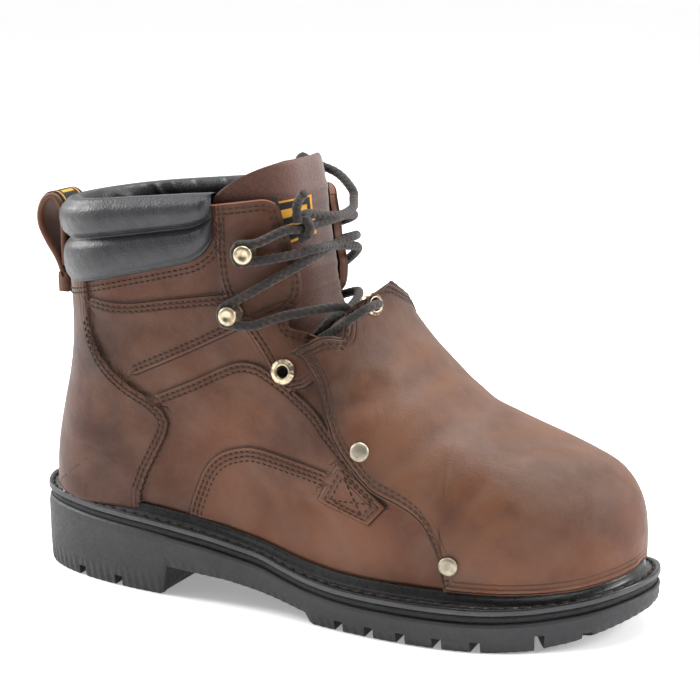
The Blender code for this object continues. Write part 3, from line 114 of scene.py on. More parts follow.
# The welt's outline, percent of LENGTH and BALL
OUTLINE = (
    (0.0, 0.0), (1.0, -10.4), (3.2, -19.6), (7.1, -27.0), (12.8, -33.0), (18.6, -36.5), (23.7, -38.3),
    (28.8, -39.1), (33.7, -39.1), (38.5, -38.9), (43.3, -39.3), (48.1, -41.7), (52.9, -44.8), (58.3, -47.6),
    (64.1, -49.4), (69.9, -50.0), (75.3, -49.2), (80.1, -46.6), (85.6, -40.9), (90.7, -32.2), (94.9, -24.0),
    (97.9, -14.0), (99.5, -4.5), (100.0, 4.5), (99.5, 13.5), (97.9, 22.5), (94.9, 31.2), (90.7, 38.0),
    (85.6, 43.0), (80.1, 46.2), (75.3, 47.6), (69.9, 47.7), (64.1, 46.1), (58.3, 43.5), (52.9, 40.0),
    (48.1, 36.8), (43.3, 34.2), (38.5, 32.9), (33.7, 32.9), (28.8, 33.9), (23.7, 34.6), (18.6, 33.9),
    (12.8, 31.3), (7.1, 26.1), (3.2, 19.1), (1.0, 10.4),
)
# The welt's top from heel to toe: percent of LENGTH and of HEEL_RISE
SEAT = (
    (0.0, 107.9), (4.5, 106.1), (12.8, 102.6), (23.7, 98.2), (33.7, 89.5), (39.4, 81.6), (44.6, 73.7),
    (48.7, 64.7), (53.5, 57.4), (58.3, 53.7), (64.1, 52.6), (69.9, 52.6), (79.5, 53.2), (85.9, 55.8),
    (91.3, 60.5), (95.5, 67.4), (98.4, 73.2), (100.0, 76.3),
)
# The sole's underside: percent of LENGTH and of HEEL_RISE
GROUND = (
    (0.0, 3.0), (2.6, 0.0), (27.4, 0.0), (27.9, 37.0), (38.0, 31.0), (47.4, 19.5), (52.5, 12.0), (53.2, 0.0),
    (81.5, 0.0), (87.0, 3.0), (91.5, 10.5), (95.5, 21.5), (98.5, 31.0), (100.0, 36.5),
)
# The throat's half width: section, percent of BALL
THROAT = (
    (8.05, 0.0), (8.3, 7.0), (8.9, 13.5), (9.8, 17.6), (11.0, 20.6), (13.2, 23.6), (15.0, 25.4), (17.0, 24.6),
    (18.5, 21.6), (20.0, 20.6), (24.0, 22.0), (28.0, 25.0),
)
CORNER_R = 0.0075       # round top corner of the hook panels
# The guard's side edge in side view: shares of LENGTH and SHAFT
GUARD_EDGE = (
    (0.741, 0.150), (0.735, 0.200), (0.725, 0.245), (0.714, 0.274), (0.695, 0.302), (0.670, 0.323),
    (0.641, 0.343), (0.607, 0.388), (0.580, 0.434), (0.558, 0.489), (0.538, 0.542), (0.522, 0.580),
    (0.503, 0.612), (0.487, 0.628),
)
# How far the guard stands off: section, then shares of SHAFT at the ridge and at the side edge
GUARD_LIFT = (
    (0.0, 0.0, 0.0), (4.6, 0.0, 0.0), (5.5, 0.003, 0.002), (6.0, 0.014, 0.007), (6.5, 0.027, 0.012),
    (7.0, 0.042, 0.024), (7.5, 0.056, 0.032), (8.0, 0.069, 0.038), (8.5, 0.081, 0.043), (9.0, 0.094, 0.046),
    (9.5, 0.110, 0.049), (10.0, 0.128, 0.052), (10.5, 0.146, 0.054), (11.0, 0.160, 0.056),
    (12.0, 0.180, 0.060),
)
# The guard's top edge, section by place, from the lateral side edge (-1) to the medial one
GUARD_TOP = (
    (-1.0, 11.85), (-0.92, 11.72), (-0.85, 11.42), (-0.78, 10.90), (-0.71, 10.30), (-0.655, 9.95),
    (-0.625, 10.15), (-0.605, 10.60), (-0.58, 11.10), (-0.54, 11.50), (-0.48, 11.72), (-0.42, 11.70),
    (-0.34, 11.48), (-0.26, 11.18), (-0.16, 10.75), (-0.06, 10.36), (0.06, 10.08), (0.20, 9.88),
    (0.34, 9.74), (0.50, 9.50), (0.60, 9.38), (0.70, 9.95), (0.80, 10.70), (0.92, 11.35), (1.0, 11.45),
)
GUARD_FREE = 7.0        # from here on the top edge shapes the guard's rows
GUARD_END = 11.45
# Hardware on the upper: shares of LENGTH and SHAFT, and the side. On the guard: section and place.
HOOKS = {
    "hook_lateral_upper": (0.411, 0.879, -1), "hook_lateral_lower": (0.391, 0.727, -1),
    "hook_medial_upper": (0.421, 0.868, 1), "hook_medial_lower": (0.404, 0.718, 1),
}
BOOT_EYELETS = {"boot_eyelet_lateral": (0.470, 0.592, -1), "boot_eyelet_medial": (0.476, 0.585, 1)}
RIVETS = {
    "guard_rivet_lateral_upper": (7.62, -0.865), "guard_rivet_lateral_lower": (5.42, -0.875),
    "guard_rivet_medial_upper": (7.35, 0.865), "guard_rivet_medial_lower": (5.30, 0.885),
}
GUARD_EYELETS = {
    "guard_eyelet_lateral_upper": (10.05, -0.37), "guard_eyelet_medial_upper": (9.00, 0.56),
}
# The pull loop's middle line: percent of LENGTH and SHAFT
LOOP = (
    (4.55, 75.0), (3.5, 79.5), (1.7, 84.0), (0.5, 88.0), (0.5, 91.8), (1.6, 95.0), (3.2, 95.4), (4.3, 92.8),
    (4.6, 88.0), (4.6, 83.0), (4.75, 78.0),
)
COLLAR_X = 0.359        # the collar's front end, share of LENGTH
LACE_HIGH = 0.0080      # lace over the upper's form near the hooks, and over the tongue
LACE_LOW = 0.0030
KNOT = (25.05, -0.135)  # section and place
LABEL_SECTIONS = (23.9, 27.5)
LABEL_PLACES = (-0.215, -0.030)

# Overlays in side view, shares of LENGTH and SHAFT: closed outlines, each raised all over
COUNTER = (
    (0.228, -0.20), (0.228, 0.250), (0.240, 0.300), (0.258, 0.355), (0.274, 0.405), (0.279, 0.437),
    (0.270, 0.466), (0.248, 0.492), (0.212, 0.521), (0.186, 0.552), (0.163, 0.588), (0.149, 0.632),
    (0.141, 0.690), (0.137, 0.80), (-0.2, 0.80), (-0.2, -0.20),
)
FACING = (
    (0.365, 1.20), (0.365, 0.960), (0.365, 0.86), (0.372, 0.78), (0.401, 0.70), (0.433, 0.63), (0.462, 0.565),
    (0.480, 0.548), (0.505, 0.560), (0.535, 0.600), (0.60, 0.70), (0.60, 1.20),
)
TAB = ((0.650, 0.312), (0.622, 0.262), (0.536, 0.300), (0.570, 0.402))
# Seams in side view, millimetres: line, which side lies on top (1 above, -1 below), rows of stitches
SEAMS = (
    (((45, 139), (64, 138), (89, 142), (121, 147)), -1, 2),
    (((69, 104), (97, 117), (127, 132), (143, 140)), 1, 2),
    (
        (
            (81, 96), (99, 104), (113, 111), (123, 115), (131, 115), (137, 113), (147, 108), (163, 97),
            (172, 88), (186, 76),
        ),
        -1, 2,
    ),
    (((97, 38), (99, 47), (106, 63), (114, 71), (124, 75), (134, 76), (154, 73), (173, 70)), -1, 3),
)
# Stitch rows from the edge of a seam, a facing, a counter or the throat, a collar hem and the guard
ROWS = (0.0020, 0.0042, 0.0064)
COUNTER_ROWS = (0.0022, 0.0044)
HEM_ROWS = (0.0024, 0.0046)
GUARD_ROWS = (0.0032, 0.0054)
TAB_ROWS = (0.80, 0.62)             # shares of the tab's outline
GUARD_SEWN = 0.236                  # the guard's side rows end here, x from the heel
SEAM_RISE = 0.0011
# Creases: side-view line, depth and half width in millimetres, and the side or 0 for both
CREASES = (
    (((150, 60), (165, 52), (178, 40)), 1.0, 5.0, 0),
    (((128, 62), (140, 52), (146, 40)), 0.7, 6.0, 0),
    (((104, 112), (112, 104), (126, 100)), 0.5, 5.0, 0),
    (((60, 128), (84, 126), (104, 132)), 0.6, 6.0, 0),
    (((120, 106), (138, 98), (150, 88)), 0.5, 6.0, -1),
    (((50, 108), (58, 90), (56, 74)), -0.5, 8.0, 0),
)
# Guard creases: section and share points, depth and half width in millimetres
GUARD_CREASES = (
    (((7.2, -0.86), (6.6, -0.72), (6.1, -0.50), (5.6, -0.28)), 1.1, 6.0),
    (((6.4, -0.93), (5.8, -0.78), (5.2, -0.60), (4.6, -0.45)), 1.0, 5.5),
    (((5.5, -0.92), (5.1, -0.76), (4.4, -0.62), (3.9, -0.56)), 0.8, 4.5),
    (((7.6, -0.70), (7.3, -0.45), (7.0, -0.20), (6.9, 0.1)), 1.1, 7.0),
    (((8.6, -0.80), (8.0, -0.62), (7.7, -0.40)), 1.2, 5.5),
    (((4.9, -0.35), (4.2, -0.18), (3.6, 0.0), (3.0, 0.22)), 0.7, 6.5),
    (((7.2, 0.86), (6.6, 0.72), (6.1, 0.50), (5.6, 0.28)), 1.5, 5.5),
    (((6.4, 0.93), (5.8, 0.78), (5.2, 0.60), (4.6, 0.45)), 1.2, 5.0),
    (((8.6, 0.80), (8.0, 0.62), (7.7, 0.40)), 1.0, 5.5),
)


def reach_of(points):
    """Length along a line up to each of its points."""
    return np.concatenate([[0], np.cumsum(np.linalg.norm(np.diff(points, axis=0), axis=1))])


def at_reach(values, reach, at):
    """Rows of values at the given lengths along a line."""
    return np.stack([np.interp(at, reach, values[:, c]) for c in range(values.shape[1])], axis=1)


def curve(knots, at):
    """Cubic through the knots (first column is the place), flat-ended."""
    table = np.asarray(knots, float)
    x = table[:, 0]
    y = table[:, 1:]
    step = np.diff(x)[:, None]
    slope = np.diff(y, axis=0) / step
    tangent = np.zeros_like(y)
    rising = slope[:-1] * slope[1:]
    tangent[1:-1] = np.where(rising > 0, 2 * rising / (slope[:-1] + slope[1:] + 1e-30), 0)
    tangent[0] = slope[0]
    tangent[-1] = slope[-1]
    at = np.clip(np.asarray(at, float), x[0], x[-1])
    i = np.clip(np.searchsorted(x, at, side="right") - 1, 0, len(x) - 2)
    h = step[i]
    t = ((at - x[i]) / step[i, 0])[..., None]
    found = (
        y[i] * (1 + 2 * t) * (1 - t) ** 2 + tangent[i] * h * t * (1 - t) ** 2
        + y[i + 1] * t * t * (3 - 2 * t) - tangent[i + 1] * h * t * t * (1 - t)
    )
    return found[..., 0] if found.shape[-1] == 1 else found


def between(a, b, c, d, t):
    """Catmull-Rom step from b to c."""
    return 0.5 * (2 * b + (c - a) * t + (2 * a - 5 * b + 4 * c - d) * t**2 + (3 * b - a - 3 * c + d) * t**3)


def smooth_route(knots, count):
    """Points of a smooth curve through the knots."""
    knots = np.asarray(knots, float)
    table = np.vstack([2 * knots[0] - knots[1], knots, 2 * knots[-1] - knots[-2]])
    at = np.linspace(0, len(knots) - 1, count)
    i = np.minimum(at.astype(int), len(knots) - 2)
    return between(*(table[i + k] for k in range(4)), (at - i)[:, None])


def ground_line(x):
    """Height of the sole's underside."""
    table = np.asarray(GROUND)
    return np.interp(x / LENGTH * 100, table[:, 0], table[:, 1]) * HEEL_RISE / 100


def welt_line(x):
    """Height of the welt's top."""
    return curve(SEAT, np.asarray(x) / LENGTH * 100) * HEEL_RISE / 100


def closed_outline(count):
    """The welt's outline and its outward normals."""
    knots = np.asarray(OUTLINE) * (LENGTH / 100, BALL / 100)
    total = len(knots)
    fine = []
    for i in range(total):
        a, b, c, d = (knots[(i + k - 1) % total] for k in range(4))
        fine += [between(a, b, c, d, t) for t in np.arange(0, 1, 0.05)]
    fine = np.asarray(fine)
    points = even_loop(fine, count)
    return points, loop_normals(points)


def even_loop(loop, count):
    closed = np.vstack([loop, loop[:1]])
    reach = reach_of(closed)
    at = np.linspace(0, reach[-1], count, endpoint=False)
    return at_reach(closed, reach, at)


def loop_normals(points):
    ahead = np.roll(points, -1, axis=0) - np.roll(points, 1, axis=0)
    normals = np.stack([ahead[:, 1], -ahead[:, 0]], axis=1)
    normals /= np.linalg.norm(normals, axis=1)[:, None]
    if np.mean(np.sum(normals * (points - points.mean(axis=0)), axis=1)) < 0:
        normals = -normals
    return normals


def section_row(s):
    """A row of SECTIONS at any section, smoothly between its neighbours."""
    table = np.asarray(SECTIONS, float)
    table = np.vstack([table[1], table, 2 * table[-1] - table[-2]])
    s = np.clip(np.asarray(s, float), 0, len(SECTIONS) - 1)
    i = np.minimum(s.astype(int), len(SECTIONS) - 2)
    return between(*(table[i + k] for k in range(4)), (s - i)[..., None])


def nose(distance, radius, power=2.0):
    """Share of the full width at a distance from a round end."""
    t = np.clip(distance / radius, 0, 1)
    return np.clip(1 - (1 - t) ** power, 0, 1) ** (1 / power)


FINE_S = np.concatenate([
    np.linspace(0, 4, 60) ** 2 / 4, np.linspace(4, 16, 97)[1:], np.linspace(16, 20, 49)[1:],
    np.linspace(20, 30, 81)[1:],
])
FINE_J = 72


def build_form():
    """Points and outward normals of the upper: sections by places, -1 at the lateral edge, 0 ridge, 1 medial."""
    rows = section_row(FINE_S)
    bx = rows[:, 0] * LENGTH / 100
    bz = welt_line(bx) - WELT_T + rows[:, 1] * SHAFT / 100
    tx = rows[:, 2] * LENGTH / 100
    tz = rows[:, 3] * SHAFT / 100
    toe = section_row(0.0)
    toe_x, low_toe_x, toe_z = toe[2] * LENGTH / 100, toe[0] * LENGTH / 100, toe[3] * SHAFT / 100
    back_rows = section_row(np.linspace(CORNER, len(SECTIONS) - 1, 400))
    back_x = back_rows[:, 0] * LENGTH / 100
    back_z = welt_line(back_x) - WELT_T + back_rows[:, 1] * SHAFT / 100
    h = 1 - (1 - np.cos(np.linspace(0, np.pi, 90))) / 2
    points = np.zeros((len(FINE_S), 2 * FINE_J + 1, 3))
    for k in range(len(FINE_S)):
        x = bx[k] + (tx[k] - bx[k]) * h
        z = bz[k] + (tz[k] - bz[k]) * h
        middle = 0.0160 * BALL / 0.115 * np.clip((x / LENGTH - 0.6) / 0.4, 0, 1) ** 1.5 * 0.32
        hm = rows[k, 6]
        close = np.clip((h - hm) / (1 - hm), 0, 1)
        top = (1 - close ** rows[k, 7]) ** (1 / rows[k, 7])
        swell = np.clip(h / hm, 0, 1)
        side = 1 + (rows[k, 8] - 1) * (3 * swell**2 - 2 * swell**3)
        height = math.hypot(tx[k] - bx[k], tz[k] - bz[k]) * h
        fade = np.clip((CORNER - FINE_S[k]) / 5, 0, 1)
        tuck = 1 - 0.035 * fade * np.clip(1 - height / 0.006, 0, 1) ** 2
        front = low_toe_x + (toe_x - low_toe_x) * np.clip(z / toe_z, 0, 1)
        rear = np.interp(z, back_z, back_x, left=back_x[0])
        ends = nose(np.clip(front - x, 0, None), 0.235 * LENGTH, 2.25)
        ends = ends * nose(np.clip(x - rear, 0, None), 0.118 * LENGTH)
        if FINE_S[k] == 0:
            ends = np.zeros_like(h)
        for sign, column in ((-1, 4), (1, 5)):
            wide = rows[k, column] * BALL / 100 * top * side * tuck * ends
            if FINE_S[k] >= CORNER:
                wide[-1] = 0.0
            line = np.stack([x, middle + sign * wide, z], axis=1)
            reach = reach_of(line)
            at = np.linspace(0, reach[-1], FINE_J + 1)
            even = at_reach(line, reach, at)
            if sign < 0:
                points[k, : FINE_J + 1] = even[::-1]
            else:
                points[k, FINE_J:] = even
    normals = np.cross(np.gradient(points, axis=1), np.gradient(points, FINE_S, axis=0))
    normals /= np.maximum(np.linalg.norm(normals, axis=2), 1e-12)[..., None]
    lean = np.clip(1 - FINE_S / 0.25, 0, 1)[:, None, None]
    normals = normals * (1 - lean) + np.array([1.0, 0.0, 0.15]) * lean
    for k in np.nonzero(FINE_S >= CORNER)[0]:
        mean = normals[k, 1] + normals[k, -2]
        normals[k, 0] = mean
        normals[k, -1] = mean
    return points, normals / np.linalg.norm(normals, axis=2)[..., None]


FORM, NORMALS = build_form()


def on_form(s, f, off=0.0, with_normal=False):
    """Points of the upper's outside at section s and place f, moved off it along the normal."""
    s, f, off = np.broadcast_arrays(np.asarray(s, float), np.asarray(f, float), np.asarray(off, float))
    i = np.interp(s, FINE_S, np.arange(len(FINE_S)))
    j = (np.clip(f, -1, 1) + 1) * FINE_J
    i0 = np.minimum(i.astype(int), len(FINE_S) - 2)
    j0 = np.minimum(j.astype(int), 2 * FINE_J - 1)
    u = (i - i0)[..., None]
    v = (j - j0)[..., None]
    found = [
        (grid[i0, j0] * (1 - v) + grid[i0, j0 + 1] * v) * (1 - u)
        + (grid[i0 + 1, j0] * (1 - v) + grid[i0 + 1, j0 + 1] * v) * u for grid in (FORM, NORMALS)
    ]
    normal = found[1] / np.maximum(np.linalg.norm(found[1], axis=-1), 1e-9)[..., None]
    point = found[0] + normal * off[..., None]
    return (point, normal) if with_normal else point


def place_at(x, z, side):
    """Section and place of a side-view point given in shares of LENGTH and SHAFT."""
    half = FORM[:, :FINE_J + 1] if side < 0 else FORM[:, FINE_J:]
    away = (half[..., 0] - x * LENGTH) ** 2 + (half[..., 2] - z * SHAFT) ** 2
    i, j = np.unravel_index(np.argmin(away), away.shape)
    f = j / FINE_J - 1 if side < 0 else j / FINE_J
    s = FINE_S[i]
    low, high = (-1, 0) if side < 0 else (0, 1)
    for size in (0.15, 0.03):
        for _ in range(6):
            trial_s = s + np.array([-1, 0, 1])[:, None] * size
            trial_f = f + np.array([-1, 0, 1])[None, :] * size * 0.1
            trial_s, trial_f = np.broadcast_arrays(np.clip(trial_s, 0, 30), trial_f)
            p = on_form(trial_s, np.clip(trial_f, low, high))
            away = (p[..., 0] - x * LENGTH) ** 2 + (p[..., 2] - z * SHAFT) ** 2
            a, b = np.unravel_index(np.argmin(away), away.shape)
            s, f = trial_s[a, b], np.clip(trial_f[a, b], low, high)
    return float(s), float(f)


def throat_edge(s, side, more=0.0):
    """Place of the throat's edge at a section, moved back by more metres."""
    half = curve(THROAT, s) * BALL / 100
    i = int(round(float(np.interp(s, FINE_S, np.arange(len(FINE_S))))))
    ring = FORM[i, :FINE_J + 1][::-1] if side < 0 else FORM[i, FINE_J:]
    width = np.abs(ring[:, 1] - ring[0, 1])
    top = int(np.argmax(width))
    place = float(np.interp(half, width[: top + 1], np.arange(top + 1) / FINE_J))
    girth = float(np.sum(np.linalg.norm(np.diff(ring, axis=0), axis=1)))
    return side * (place + more / girth)


def low_place(s, side, lift):
    """Place where a section reaches the welt, lift above its underside."""
    f = np.linspace(0, 1, 500) * side
    p = on_form(np.full_like(f, s), f)
    under = np.nonzero(p[:, 2] - (welt_line(p[:, 0]) - WELT_T + lift) <= 0)[0]
    return float(f[under[0]]) if len(under) else float(side)


def from_line(points, line, closed=False):
    """Distance, sign (left of the way is positive) and length along a side-view line, for (x, z) points."""
    line = np.asarray(line, float)
    if closed:
        line = np.vstack([line, line[:1]])
    reach = reach_of(line)
    best = np.full(len(points), 1e9)
    along = np.zeros(len(points))
    sign = np.ones(len(points))
    for k in range(len(line) - 1):
        a, d = line[k], line[k + 1] - line[k]
        size = np.linalg.norm(d)
        t = np.clip(((points - a) @ d) / size**2, 0, 1)
        away = points - a - t[:, None] * d
        far = np.linalg.norm(away, axis=1)
        side = np.sign(d[0] * away[:, 1] - d[1] * away[:, 0])
        better = far < best
        best = np.where(better, far, best)
        along = np.where(better, reach[k] + t * size, along)
        sign = np.where(better, np.where(side == 0, 1, side), sign)
    return best, sign, along


def inside(points, outline):
    """Signed distance to a closed side-view outline, positive inside."""
    far, _, _ = from_line(points, outline, closed=True)
    x, z = points.T
    hit = np.zeros(len(points), bool)
    n = len(outline)
    for k in range(n):
        (ax, az), (bx, bz) = outline[k], outline[(k + 1) % n]
        crosses = (az > z) != (bz > z)
        with np.errstate(divide="ignore", invalid="ignore"):
            at = (bx - ax) * (z - az) / (bz - az + 1e-18) + ax
        hit ^= crosses & (x < at)
    return np.where(hit, far, -far)


def rise(t):
    """Smooth step from 0 to 1."""
    t = np.clip(t, 0, 1)
    return t * t * (3 - 2 * t)


def fine_line(line, count=60):
    return smooth_route(np.asarray(line, float), count)


# Meshes and pieces

def add_piece(name, points, faces, looks, slot, nodes=(), data=None, outward=None,
              smooth=True, face_look=None):
    """A piece in the row frame that rides on the boot, with its data kept as point attributes."""
    points = np.asarray(points, float) - (ORIGIN_X * LENGTH, 0, 0)
    if outward is not None:
        outward = np.asarray(outward, float)
        turned = []
        for face in faces:
            a, b, c = points[face[0]], points[face[1]], points[face[2]]
            facing = np.dot(np.cross(b - a, c - a), outward[face[0]] + outward[face[2]])
            turned.append(tuple(face) if facing >= 0 else tuple(face)[::-1])
        faces = turned
    mesh = bpy.data.meshes.new(name)
    mesh.from_pydata(points.tolist(), [], [list(f) for f in faces])
    for key, values in (data or {}).items():
        made = mesh.attributes.new(key, "FLOAT", "POINT")
        made.data.foreach_set("value", np.asarray(values, np.float32))
    item = bpy.data.objects.new(name, mesh)
    bpy.context.scene.collection.objects.link(item)
    for look in looks if isinstance(looks, (list, tuple)) else [looks]:
        mesh.materials.append(look)
    if face_look is not None:
        mesh.polygons.foreach_set("material_index", np.asarray(face_look, np.int32))
    mesh.polygons.foreach_set("use_smooth", [smooth] * len(mesh.polygons))
    mesh.update()
    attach(item, "root")
    if nodes:
        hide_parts(*nodes)
    return item


def grid_faces(rows, columns, base=0, wrap=False):
    faces = []
    for i in range(rows - 1):
        a = base + i * columns
        faces += [(a + j, a + j + 1, a + columns + j + 1, a + columns + j) for j in range(columns - 1)]
        if wrap:
            faces.append((a + columns - 1, a, a + columns, a + 2 * columns - 1))
    return faces


def joined(parts):
    """Several (points, faces) as one."""
    points, faces = [], []
    for p, f in parts:
        base = len(points)
        points.extend(list(map(tuple, p)))
        faces.extend([tuple(i + base for i in face) for face in f])
    return np.asarray(points), faces


def lathe(profile, sides=40):
    """Points and faces of a profile (radius, height) turned round +Z, open or closed on the axis."""
    turns = np.arange(sides) * 2 * math.pi / sides
    points = np.array([(r * math.cos(t), r * math.sin(t), h) for r, h in profile for t in turns])
    return points, grid_faces(len(profile), sides, wrap=True)


def stand(points, foot, normal):
    """Points made round +Z, turned to a normal and set on a foot."""
    turn = np.asarray(Vector(normal).to_track_quat("Z", "Y").to_matrix())
    return points @ turn.T + foot


def tube(route, radius, sides=14):
    """Points, faces, angle and length of a tube along a route; radius may be a function of the last two."""
    route = np.asarray(route, float)
    reach = reach_of(route)
    previous = None
    points, angles, lengths = [], [], []
    for k in range(len(route)):
        ahead = route[min(k + 1, len(route) - 1)] - route[max(k - 1, 0)]
        ahead /= np.linalg.norm(ahead)
        if previous is None:
            helper = np.array([0, 0, 1.0]) if abs(ahead[2]) < 0.9 else np.array([1.0, 0, 0])
            previous = np.cross(ahead, helper)
        across = previous - ahead * np.dot(previous, ahead)
        across /= np.linalg.norm(across)
        previous = across
        up = np.cross(ahead, across)
        turns = np.arange(sides) * 2 * math.pi / sides
        r = radius(turns, reach[k]) if callable(radius) else np.full(sides, radius)
        points.append(route[k] + r[:, None] * (across * np.cos(turns)[:, None] + up * np.sin(turns)[:, None]))
        angles.append(turns)
        lengths.append(np.full(sides, reach[k]))
    faces = grid_faces(len(route), sides, wrap=True)
    faces.append(tuple(range(sides))[::-1])
    faces.append(tuple(range((len(route) - 1) * sides, len(route) * sides)))
    return np.concatenate(points), faces, np.concatenate(angles), np.concatenate(lengths), reach[-1]


def resampled(route, step):
    """A route with points one step apart."""
    route = np.asarray(route, float)
    reach = reach_of(route)
    at = np.linspace(0, reach[-1], max(2, int(reach[-1] / step)))
    return at_reach(route, reach, at)


# Materials

def node(tree, kind, inputs=None, **settings):
    """A shader node with its settings, and its inputs linked or set."""
    made = tree.nodes.new(kind)
    for key, value in settings.items():
        setattr(made, key, value)
    for key, value in (inputs or {}).items():
        if isinstance(value, bpy.types.NodeSocket):
            tree.links.new(value, made.inputs[key])
        else:
            made.inputs[key].default_value = value
    return made


def ramp(tree, source, stops):
    """A colour ramp of (place, colour or grey) stops."""
    made = node(tree, "ShaderNodeValToRGB", {"Fac": source})
    parts = made.color_ramp.elements
    while len(parts) < len(stops):
        parts.new(0.5)
    for part, (place, colour) in zip(parts, stops):
        part.position = place
        part.color = (colour, colour, colour, 1) if isinstance(colour, (int, float)) else (*colour, 1)
    return made.outputs["Color"]


def noise(tree, scale, detail=4.0, rough=0.55, distort=0.0):
    place = node(tree, "ShaderNodeTexCoord").outputs["Object"]
    inputs = {"Vector": place, "Scale": scale, "Detail": detail, "Roughness": rough, "Distortion": distort}
    return node(tree, "ShaderNodeTexNoise", inputs).outputs["Fac"]


def cells(tree, scale):
    place = node(tree, "ShaderNodeTexCoord").outputs["Object"]
    return node(tree, "ShaderNodeTexVoronoi", {"Vector": place, "Scale": scale}).outputs["Distance"]


def maths(tree, operation, a, b=0.0, c=0.0):
    made = node(tree, "ShaderNodeMath", operation=operation)
    for k, value in enumerate((a, b, c)):
        if isinstance(value, bpy.types.NodeSocket):
            tree.links.new(value, made.inputs[k])
        else:
            made.inputs[k].default_value = value
    return made.outputs[0]


def mixed(tree, share, a, b, kind="MIX"):
    made = node(tree, "ShaderNodeMix", data_type="RGBA", blend_type=kind)
    for slot_at, value in ((0, share), (6, a), (7, b)):
        if isinstance(value, bpy.types.NodeSocket):
            tree.links.new(value, made.inputs[slot_at])
        else:
            made.inputs[slot_at].default_value = value if slot_at == 0 else (*value, 1)
    return made.outputs[2]


def attribute(tree, name):
    return node(tree, "ShaderNodeAttribute", attribute_name=name).outputs["Fac"]


def bumps(tree, layers):
    """Bump nodes in a chain; each layer is (height socket, strength, distance)."""
    last = None
    for height, strength, distance in layers:
        inputs = {"Height": height, "Strength": strength, "Distance": distance}
        if last is not None:
            inputs["Normal"] = last
        last = node(tree, "ShaderNodeBump", inputs).outputs["Normal"]
    return last


def new_look(name):
    """A material with its tree and its shader."""
    made = bpy.data.materials.new(name)
    made.use_nodes = True
    return made, made.node_tree, made.node_tree.nodes["Principled BSDF"]


def finished(tree, shader, colour, rough, layers, others=()):
    """Colour, roughness, bumps and other inputs on the shader's own sockets."""
    inputs = {"Base Color": colour, "Roughness": rough, "Normal": bumps(tree, layers), **dict(others)}
    for name, value in inputs.items():
        if isinstance(value, bpy.types.NodeSocket):
            tree.links.new(value, shader.inputs[name])
        else:
            shader.inputs[name].default_value = value


def times(colour, share, more=0.0):
    return tuple(v * share + more for v in colour)


def brown_leather(name, seams=True, lighter=1.0):
    """Oiled leather: blotches, grey-tan haze with a painted sheen on upward faces, fine grain, lighter creases
    and, at seams, grooves and edges with painted shade beside a lighter cut edge.
    """
    look, tree, shader = new_look(name)
    blotch = noise(tree, 11.0, 3.0, 0.6, 0.4)
    mottle = noise(tree, 70.0, 5.0, 0.65, 0.3)
    tones = ((0.30, (0.034, 0.0110, 0.0060)), (0.48, (0.078, 0.0255, 0.0115)), (0.68, (0.150, 0.054, 0.0235)))
    base = ramp(tree, blotch, [(place, times(tone, lighter)) for place, tone in tones])
    haze = ramp(tree, mixed(tree, 0.5, mottle, noise(tree, 22.0, 4.0, 0.6, 0.8)), ((0.42, 0.0), (0.66, 1.0)))
    # Painted sheen: faces turned upwards are mixed further towards the lighter grey-tan haze colour; the mottled
    # haze itself is the leather's own bloom
    facing = node(tree, "ShaderNodeNewGeometry").outputs["Normal"]
    up = node(tree, "ShaderNodeSeparateXYZ", {"Vector": facing}).outputs["Z"]
    wear_and_sheen = maths(tree, "MULTIPLY_ADD", haze, 0.30, ramp(tree, up, ((0.05, 0.0), (0.75, 0.26))))
    hazed_and_sheened = mixed(tree, wear_and_sheen, base, (0.190, 0.122, 0.090))
    if seams:
        pull = attribute(tree, "pull")
        hazed_and_sheened = mixed(tree, maths(tree, "MULTIPLY", pull, 0.34), hazed_and_sheened, (0.190, 0.078, 0.034))
        d = attribute(tree, "seam_d")
        on = attribute(tree, "seam_on")
        # Painted shade at seams and overlay edges: a dark line just below each overlapping edge, darker stitch
        # grooves and a slightly darker sewn band; the lighter band just above the edge is the cut edge's own tan
        shade = ramp(tree, d, (
            (0.0, 1.0), (0.10, 0.85), (0.160, 0.40), (0.185, 0.10), (0.205, 0.35), (0.225, 1.5), (0.27, 1.1),
            (0.37, 0.90), (0.40, 0.62), (0.43, 0.90), (0.59, 0.90), (0.62, 0.66), (0.65, 0.95), (1.0, 1.0),
        ))
        seam_shaded = mixed(tree, 1.0, hazed_and_sheened, shade, "MULTIPLY")
        hazed_and_sheened = mixed(tree, on, hazed_and_sheened, seam_shaded)
    rough = ramp(tree, noise(tree, 40.0, 4.0, 0.6), ((0.3, 0.47), (0.7, 0.62)))
    grain = cells(tree, 1150.0)
    wrinkle = noise(tree, 260.0, 5.0, 0.6, 0.2)
    layers = [(grain, 0.22, 0.00035), (wrinkle, 0.28, 0.0007), (noise(tree, 60.0, 3.0, 0.5), 0.25, 0.0016)]
    if seams:
        groove = ramp(tree, d, (
            (0.0, 0.5), (0.16, 0.5), (0.20, 0.12), (0.235, 0.72), (0.33, 0.60), (0.40, 0.26), (0.47, 0.60),
            (0.55, 0.60), (0.62, 0.28), (0.69, 0.58), (1.0, 0.5),
        ))
        deep = maths(tree, "MULTIPLY", maths(tree, "SUBTRACT", groove, 0.5), on)
        layers.append((deep, 0.9, 0.0011))
    finished(tree, shader, hazed_and_sheened, rough, layers, {"Specular IOR Level": 0.30})
    return look


def dark_leather(name, colour, rough, scale=1.0):
    """Pebbled black leather with fine folds."""
    look, tree, shader = new_look(name)
    pebble = cells(tree, 820.0 * scale)
    fold = noise(tree, 130.0, 4.0, 0.6, 0.3)
    base = mixed(tree, noise(tree, 45.0, 4.0), colour, times(colour, 1.7, 0.008))
    gloss = ramp(tree, fold, ((0.3, rough - 0.08), (0.7, rough + 0.12)))
    finished(tree, shader, base, gloss, [(pebble, 0.30, 0.0004), (fold, 0.12, 0.0006)])
    return look


